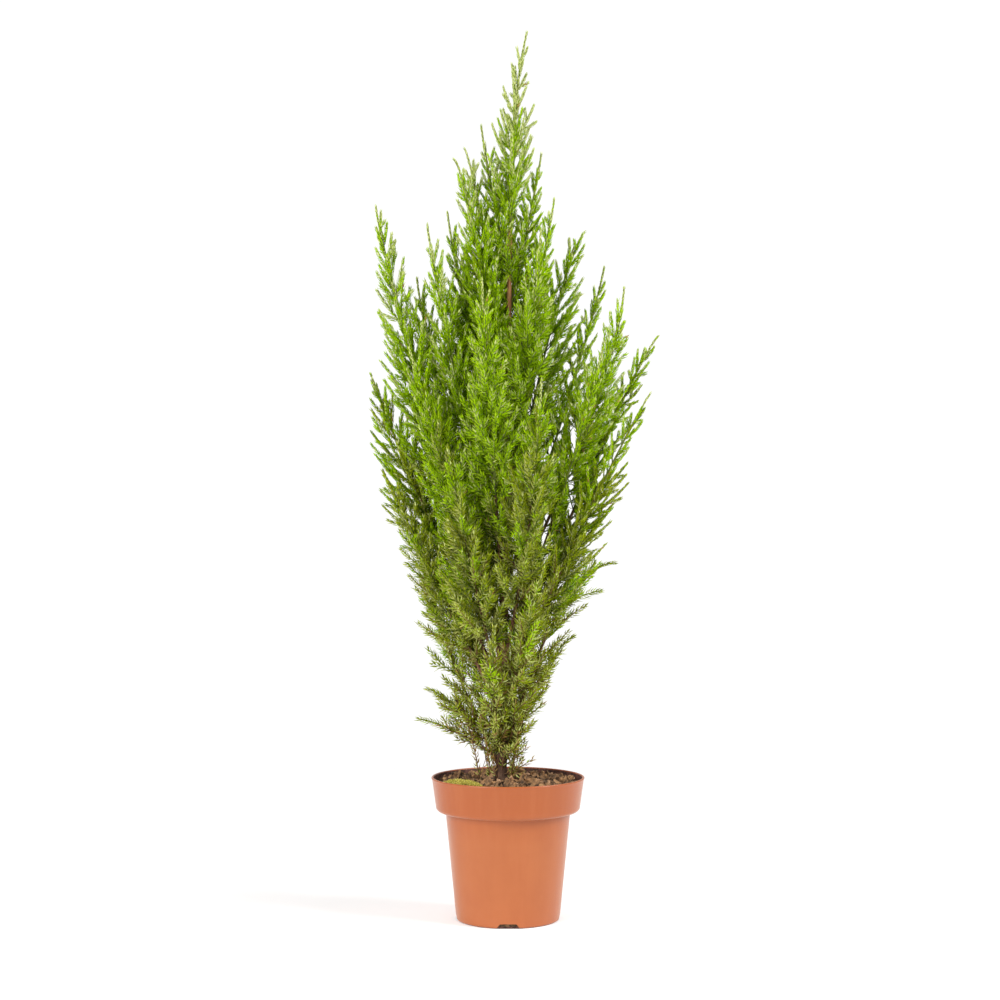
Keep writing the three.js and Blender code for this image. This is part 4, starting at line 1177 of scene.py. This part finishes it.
# where along a twig, or how high, needles are shorter, and by what share
TIP_SHARES, TIP_SHORTER = (0.55, 1.0), 0.3
FOOT_SHARES, FOOT_SHORTER = (0.0, 0.25), 0.25
LOW_HEIGHTS, LOW_SHORTER = (0.0, 0.05), 0.2
TIP_CLOSER, YOUNG_TIP_CLOSER = 0.4, 0.2
TURN_STRAY, LEAN_STRAY, YOUNG_STEADIER = 0.14, 7, 0.4
LENGTH_SPREAD = (0.8, 1.12)
NEEDLE_TONES = {
    "lime": (paint(199, 206, 138), paint(170, 184, 94)),
    "bright": (paint(172, 208, 14), paint(134, 176, 0)),
    "grass": (paint(150, 186, 6), paint(110, 148, 0)),
    "deep": (paint(140, 162, 8), paint(98, 121, 0)),
    "olive": (paint(161, 177, 30), paint(118, 134, 6)),
    "dark_olive": (paint(144, 153, 34), paint(103, 111, 8)),
    "shade": (paint(100, 126, 4), paint(68, 92, 0)),
    "dusk": (paint(113, 114, 32), paint(80, 81, 8)),
    # pale: the real glaucous band of the needles, and also painted highlight scattered through the sprays
    "pale": (paint(210, 216, 146), paint(186, 198, 108)),
    "straw": (paint(172, 140, 84), paint(134, 102, 52)),
}
# the paler inner face of a needle, on young growth and on old
NEEDLE_INSIDES = {
    "young": (paint(178, 206, 48), paint(144, 180, 10)),
    "old": (paint(192, 196, 114), paint(154, 160, 68)),
}
YOUNG_TONES = ("lime", "bright", "grass", "pale")
# the darker green painted as shade at a spray's foot and inside the crown, and the lighter green painted as
# light at its tip, for each green that a spray may have
PAINTED_SHADE_TONE = {
    "lime": "bright", "bright": "grass", "grass": "deep", "deep": "shade", "olive": "dark_olive",
    "dark_olive": "dusk",
}
PAINTED_LIGHT_TONE = {"bright": "lime", "grass": "bright", "deep": "grass", "dark_olive": "olive"}
FOOT_SPRAY_TONES = ("dark_olive", "dusk", "dark_olive", "dusk", "straw")
# the greens from little light to much, the light where one gives way to the next, and how far sprays stray
LIGHT_TONES, LIGHT_LIMITS = ("dark_olive", "olive", "deep", "grass", "bright"), (0.12, 0.42, 0.58, 0.74)
LIGHT_HEIGHTS, LIGHT_STRAY, LIMB_LIGHT_STRAY = (0.0, 0.62), 0.17, 0.16
# how much more light a limb has had than its height tells, by the last word of its name
LIMB_LIGHT = {
    "inner": 0.16, "tall": 0.14, "rear": 0.12, "spire": 0.06, "front": 0.04, "flare": -0.1, "outer": -0.12,
    "foot": -0.05,
}
FRESH_SHARE = 0.06
LIME_SHARE, LIME_HEIGHTS = 0.95, (0.52, 0.78)
# stems are lime above the first height, and their tips above the second
LIME_STEM_FROM, LIME_TIP_FROM, LIME_TIP_SHARE = 0.6, 0.36, 0.88
# how far the growth of a limb lies close and slender: 1 where its shoots are smooth to their feet
SLENDER_LIMBS = {
    "right_flare": 1.0, "right_outer": 1.0, "right_tall": 0.7, "right_rear": 0.9, "right_inner": 0.8,
    "right_mid": 0.7, "right_top": 0.9, "right_crown": 1.0, "right_low": 0.5, "left_flare": 0.8,
    "left_spire": 0.7, "left_rear": 0.6, "left_top": 0.9, "left_crown": 1.0, "left_inner": 0.8,
    "left_tall": 0.6, "left_mid": 0.5, "front_top": 0.8, "back_top": 0.8, "back_flare": 0.8,
    "back_mid": 0.7, "back_tall": 0.6, "leader": 1.0,
}
SLENDER_LEAST = 0.2
# the heights, and the shares along a limb, between which growth turns from old to young
YOUNG_HEIGHTS = (0.5, 0.72)
YOUNG_PLACES, YOUNG_PLACES_HEIGHTS = (0.55, 0.92), (0.2, 0.42)
SLENDER_PLACES, SLENDER_HEIGHTS = (0.22, 0.66), (0.12, 0.3)
# half the crown's width at a few heights, inside which painted shade darkens the foliage
CROWN_HEIGHTS = (0.0, 0.1, 0.2, 0.35, 0.5, 0.6, 0.7, 0.84)
CROWN_HALVES = (0.04, 0.06, 0.085, 0.125, 0.15, 0.12, 0.06, 0.02)
# the share of needles darker or lighter than their spray at random, the heights above which needles are no
# longer darkened, and where along and inside the crown painted shade darkens them and painted light lightens
# them
ODD_SHARE, PAINTED_SHADE_HEIGHTS = 0.05, (0.62, 0.74)
FOOT_PAINTED_SHADE, FOOT_PAINTED_SHADE_SHARES = 0.75, (0.15, 0.5)
INNER_PAINTED_SHADE, INNER_PAINTED_SHADE_SHARES = 0.8, (0.35, 0.6)
TIP_PAINTED_LIGHT, TIP_PAINTED_LIGHT_SHARES = 0.45, (0.6, 0.9)
# for each kind of twig: its start and stretch in its spray's youth and in its painted light and shade, and
# the turn from twig to twig
SPRAY_PARTS = {"shoots": ((0.0, 1.0), (0.0, 1.0), 37), "branchlets": ((0.4, 0.6), (0.3, 0.7), 53)}
STEM_NEEDLES_FROM, STEM_TURN = 0.12, 11.0
# the share of needles that have withered: inside the low crown, at its foot, and anywhere
WITHERED_INSIDE, WITHERED_HEIGHTS, WITHERED_REACH = 0.1, (0.05, 0.3), (0.03, 0.075)
WITHERED_FOOT, WITHERED_FOOT_HEIGHTS, WITHERED_LEAST = 0.4, (0.02, 0.08), 0.004
# the share of needles in the pale green, partly real glaucous band and partly painted highlight, more of them
# low down
PALE_SHARE, PALE_SHARE_LOW, PALE_HEIGHTS = 0.06, 0.04, (0.1, 0.35)
OPENING_EASES, OPENING_NEEDLE_SHARE = (0.35, 1.0), 0.6
BARE_FOOT_SHARE, BARE_FOOT_HEIGHTS = 0.6, (0.012, 0.04)
SLOT_HEIGHTS = [("needles_low", -1.0, 0.24), ("needles_mid", 0.24, 0.52), ("needles_top", 0.52, 2.0)]

tone_names = list(NEEDLE_TONES)
limb_slender = np.array([SLENDER_LIMBS.get(row[0], SLENDER_LEAST) for row in LIMBS])
limb_light = np.array([LIMB_LIGHT.get(row[0].split("_")[-1], 0.0) for row in LIMBS])
limb_light += LIMB_LIGHT_STRAY * (vary(np.arange(LIMB_COUNT) + 1, 7.0) - 0.5)


def tone_numbers(names):
    return np.array([tone_names.index(name) for name in names])


LIME, BRIGHT, PALE, STRAW = tone_numbers(("lime", "bright", "pale", "straw"))
painted_shade_of = tone_numbers(PAINTED_SHADE_TONE.get(name, name) for name in tone_names)
painted_light_of = tone_numbers(PAINTED_LIGHT_TONE.get(name, name) for name in tone_names)


def by_youth(old_and_young, young):
    """A size that goes from its value on old growth to its value on young growth."""
    old, new = old_and_young
    return old + (new - old) * young


def youth(heights, places, shares, limbs):
    """How far growth is young, 1 on the spires and 0 on old wood, by height and shares of limb and twig."""
    by_height = smoothstep(heights, *YOUNG_HEIGHTS)
    by_place = smoothstep(places, *YOUNG_PLACES) * smoothstep(heights, *YOUNG_PLACES_HEIGHTS)
    by_limb = limb_slender[limbs] * smoothstep(places + 0.5 * shares, *SLENDER_PLACES)
    by_limb = by_limb * smoothstep(heights, *SLENDER_HEIGHTS)
    return np.maximum(np.maximum(by_height, by_place), by_limb)


def whorls_along(lengths, young):
    """For each whorl its twig, its number there, and its share along the twig."""
    counts = np.maximum(2, np.round(lengths / by_youth(WHORL_PITCHES, young)).astype(int))
    twigs, order = numbered(counts)
    return twigs, order, (order + 0.6) / counts[twigs]


def needles_on(points, tangents, young, order, shares, first_turn, draw):
    """The roots, directions, sides, lengths and widths of the needles of each whorl."""
    count = len(points)
    tip = smoothstep(shares, *TIP_SHARES)
    length = by_youth(NEEDLE_LENGTHS, young) * (1 - TIP_SHORTER * tip)
    length = length * (1 - FOOT_SHORTER + FOOT_SHORTER * smoothstep(shares, *FOOT_SHARES))
    length = length * (1 - LOW_SHORTER + LOW_SHORTER * smoothstep(points[:, 2], *LOW_HEIGHTS))
    angle = by_youth(NEEDLE_ANGLES, young) * (1 - (TIP_CLOSER + YOUNG_TIP_CLOSER * young) * tip)
    width = by_youth(NEEDLE_WIDTHS, young)
    parts = []
    for k in range(NEEDLES_A_WHORL):
        turns = np.radians(120 * k + 60 * (order % 2) + first_turn) + draw.normal(0, TURN_STRAY, count)
        out = round_about(tangents, turns)
        lean = np.radians(angle + draw.normal(0, LEAN_STRAY, count) * (1 - YOUNG_STEADIER * young))[:, None]
        along = tangents * np.cos(lean) + out * np.sin(lean)
        across = unit(np.cross(tangents, out))
        lengths = length * draw.uniform(*LENGTH_SPREAD, count)
        parts.append((points + out * NEEDLE_ROOT, along, across, lengths, width))
    return [np.concatenate(column) for column in zip(*parts)]


def tone_of(light, draw):
    """The number of each spray's green, from how much light it has had."""
    level = np.searchsorted(LIGHT_LIMITS, light + draw.normal(0, LIGHT_STRAY, len(light)))
    return tone_numbers(LIGHT_TONES)[level]


def paint_shade_and_light(tones, points, shares, draw):
    """The greens of a spray's needles: darker with painted shade at its foot and inside the crown, lighter
    with painted light at its tip, and a few darker or lighter at random.
    """
    tones, shares = np.tile(tones, NEEDLES_A_WHORL), np.tile(shares, NEEDLES_A_WHORL)
    points = np.tile(points, (NEEDLES_A_WHORL, 1))
    chance = draw.uniform(0, 1, len(tones))
    inner = np.linalg.norm(points[:, :2] - trunk_point(points[:, 2])[:, :2], axis=1)
    inner = inner / np.interp(points[:, 2], CROWN_HEIGHTS, CROWN_HALVES)
    # painted shade at a spray's foot and inside the crown, with a few needles darker at random
    darker = ODD_SHARE + FOOT_PAINTED_SHADE * (1 - smoothstep(shares, *FOOT_PAINTED_SHADE_SHARES))
    darker = darker + INNER_PAINTED_SHADE * (1 - smoothstep(inner, *INNER_PAINTED_SHADE_SHARES))
    darker = (1 - smoothstep(points[:, 2], *PAINTED_SHADE_HEIGHTS)) * darker
    # painted light at a spray's tip, with a few needles lighter at random
    lighter = ODD_SHARE + TIP_PAINTED_LIGHT * smoothstep(shares, *TIP_PAINTED_LIGHT_SHARES)
    tones = np.where(chance < darker, painted_shade_of[tones], tones)
    return np.where(chance > 1 - lighter, painted_light_of[tones], tones)


def needle_finish(name, colours):
    """A needle's soft waxy finish in two near greens."""
    finish = mottled_finish(name, colours, 260, roughness=(0.34, 0.5), depth=0.0)
    feed(finish.node_tree.nodes["Principled BSDF"], {"Specular IOR Level": NEEDLE_GLOSS})
    return finish


draw = np.random.default_rng(90)
shoot_tips = shoots["end"][:, 2]
shoot_young = youth(shoots["start"][:, 2], shoots["place"], 0.5, shoots["limb"])
shoot_tone = tone_of(smoothstep(shoot_tips, *LIGHT_HEIGHTS) + limb_light[shoots["limb"]], draw)
shoot_tone[draw.uniform(0, 1, shoot_count) < FRESH_SHARE] = BRIGHT
shoot_tone[draw.uniform(0, 1, shoot_count) < LIME_SHARE * smoothstep(shoot_tips, *LIME_HEIGHTS)] = LIME
foot_sprays = np.arange(shoot_count - len(single_stems) - sprig_count, shoot_count - len(SIDE_SPRAYS))
shoot_tone[foot_sprays] = tone_numbers(FOOT_SPRAY_TONES)[foot_sprays % len(FOOT_SPRAY_TONES)]

needle_parts, needle_tones = [], []
for kind, twigs, owners, _, _ in TWIG_KINDS:
    (young_foot, young_part), (light_foot, light_part), turn_step = SPRAY_PARTS[kind]
    rows, order, shares = whorls_along(twigs["length"], shoot_young[owners])
    points, tangents = along_twigs(twigs, rows, shares)
    parents = owners[rows]
    places, limbs = shoots["place"][parents], shoots["limb"][parents]
    young = youth(points[:, 2], places, young_foot + young_part * shares, limbs)
    needle_parts.append(needles_on(points, tangents, young, order, shares, turn_step * rows, draw))
    needle_tones.append(paint_shade_and_light(shoot_tone[parents], points, light_foot + light_part * shares, draw))

needled = 1 - STEM_NEEDLES_FROM
for limb, stem in enumerate(stems):
    _, order, shares = whorls_along(np.array([stem.length * needled]), np.array([0.5]))
    places = STEM_NEEDLES_FROM + needled * shares
    points, tangents = stem.at(places)
    heights = points[:, 2]
    young = youth(heights, places, 0.5 * places, np.full(len(points), limb))
    needle_parts.append(needles_on(points, tangents, young, order, shares, STEM_TURN * limb, draw))
    light = smoothstep(heights, *LIGHT_HEIGHTS) + limb_light[limb]
    tone = np.full(len(points), tone_of(light.mean()[None], draw)[0])
    tone[(heights > LIME_STEM_FROM) | ((places > LIME_TIP_SHARE) & (heights > LIME_TIP_FROM))] = LIME
    needle_tones.append(paint_shade_and_light(tone, points, places, draw))

roots, along, across, lengths, widths = [np.concatenate(column) for column in zip(*needle_parts)]
tones = np.concatenate(needle_tones)
count, heights = len(roots), roots[:, 2]
tips = roots + along * lengths[:, None]
from_trunk = np.linalg.norm((roots - trunk_point(np.minimum(heights, TRUNK_TOP)))[:, :2], axis=1)
withered = WITHERED_INSIDE * (1 - smoothstep(heights, *WITHERED_HEIGHTS))
withered = withered * (1 - smoothstep(from_trunk, *WITHERED_REACH)) + WITHERED_LEAST
withered += WITHERED_FOOT * (1 - smoothstep(heights, *WITHERED_FOOT_HEIGHTS))
tones[draw.uniform(0, 1, count) < withered] = STRAW
# pale needles dealt at random: real glaucous band and painted highlight
pale = PALE_SHARE + PALE_SHARE_LOW * (1 - smoothstep(heights, *PALE_HEIGHTS))
tones[draw.uniform(0, 1, count) < pale] = PALE
keep = ~in_opening(roots + OPENING_NEEDLE_SHARE * (tips - roots), draw.uniform(*OPENING_EASES, count))
keep &= draw.uniform(0, 1, count) > BARE_FOOT_SHARE * (1 - smoothstep(heights, *BARE_FOOT_HEIGHTS))

needle_columns = (roots + PLANT_FOOT, along, across, lengths, widths)
outsides = {name: needle_finish("needle_" + name, colours) for name, colours in NEEDLE_TONES.items()}
insides = {name: needle_finish("needle_inside_" + name, colours) for name, colours in NEEDLE_INSIDES.items()}
for slot, low, high in SLOT_HEIGHTS:
    in_slot = keep & (tips[:, 2] >= low) & (tips[:, 2] < high)
    for tone, name in enumerate(tone_names):
        members = np.flatnonzero(in_slot & (tones == tone))
        for part, first in enumerate(range(0, len(members), MOST_NEEDLES)):
            pick = members[first:first + MOST_NEEDLES]
            shapes = kites(*(column[pick] for column in needle_columns), NEEDLE_WAIST, NEEDLE_BOW)
            piece = joined_piece(f"{slot}_{name}_{part + 1}", *shapes, outsides[name])
            piece.data.materials.append(insides["young" if name in YOUNG_TONES else "old"])
            faces = np.tile(NEEDLE_FACES, len(pick)).astype(np.int32)
            piece.data.polygons.foreach_set("material_index", faces)
            fit_piece(piece, slot, *foliage_nodes)
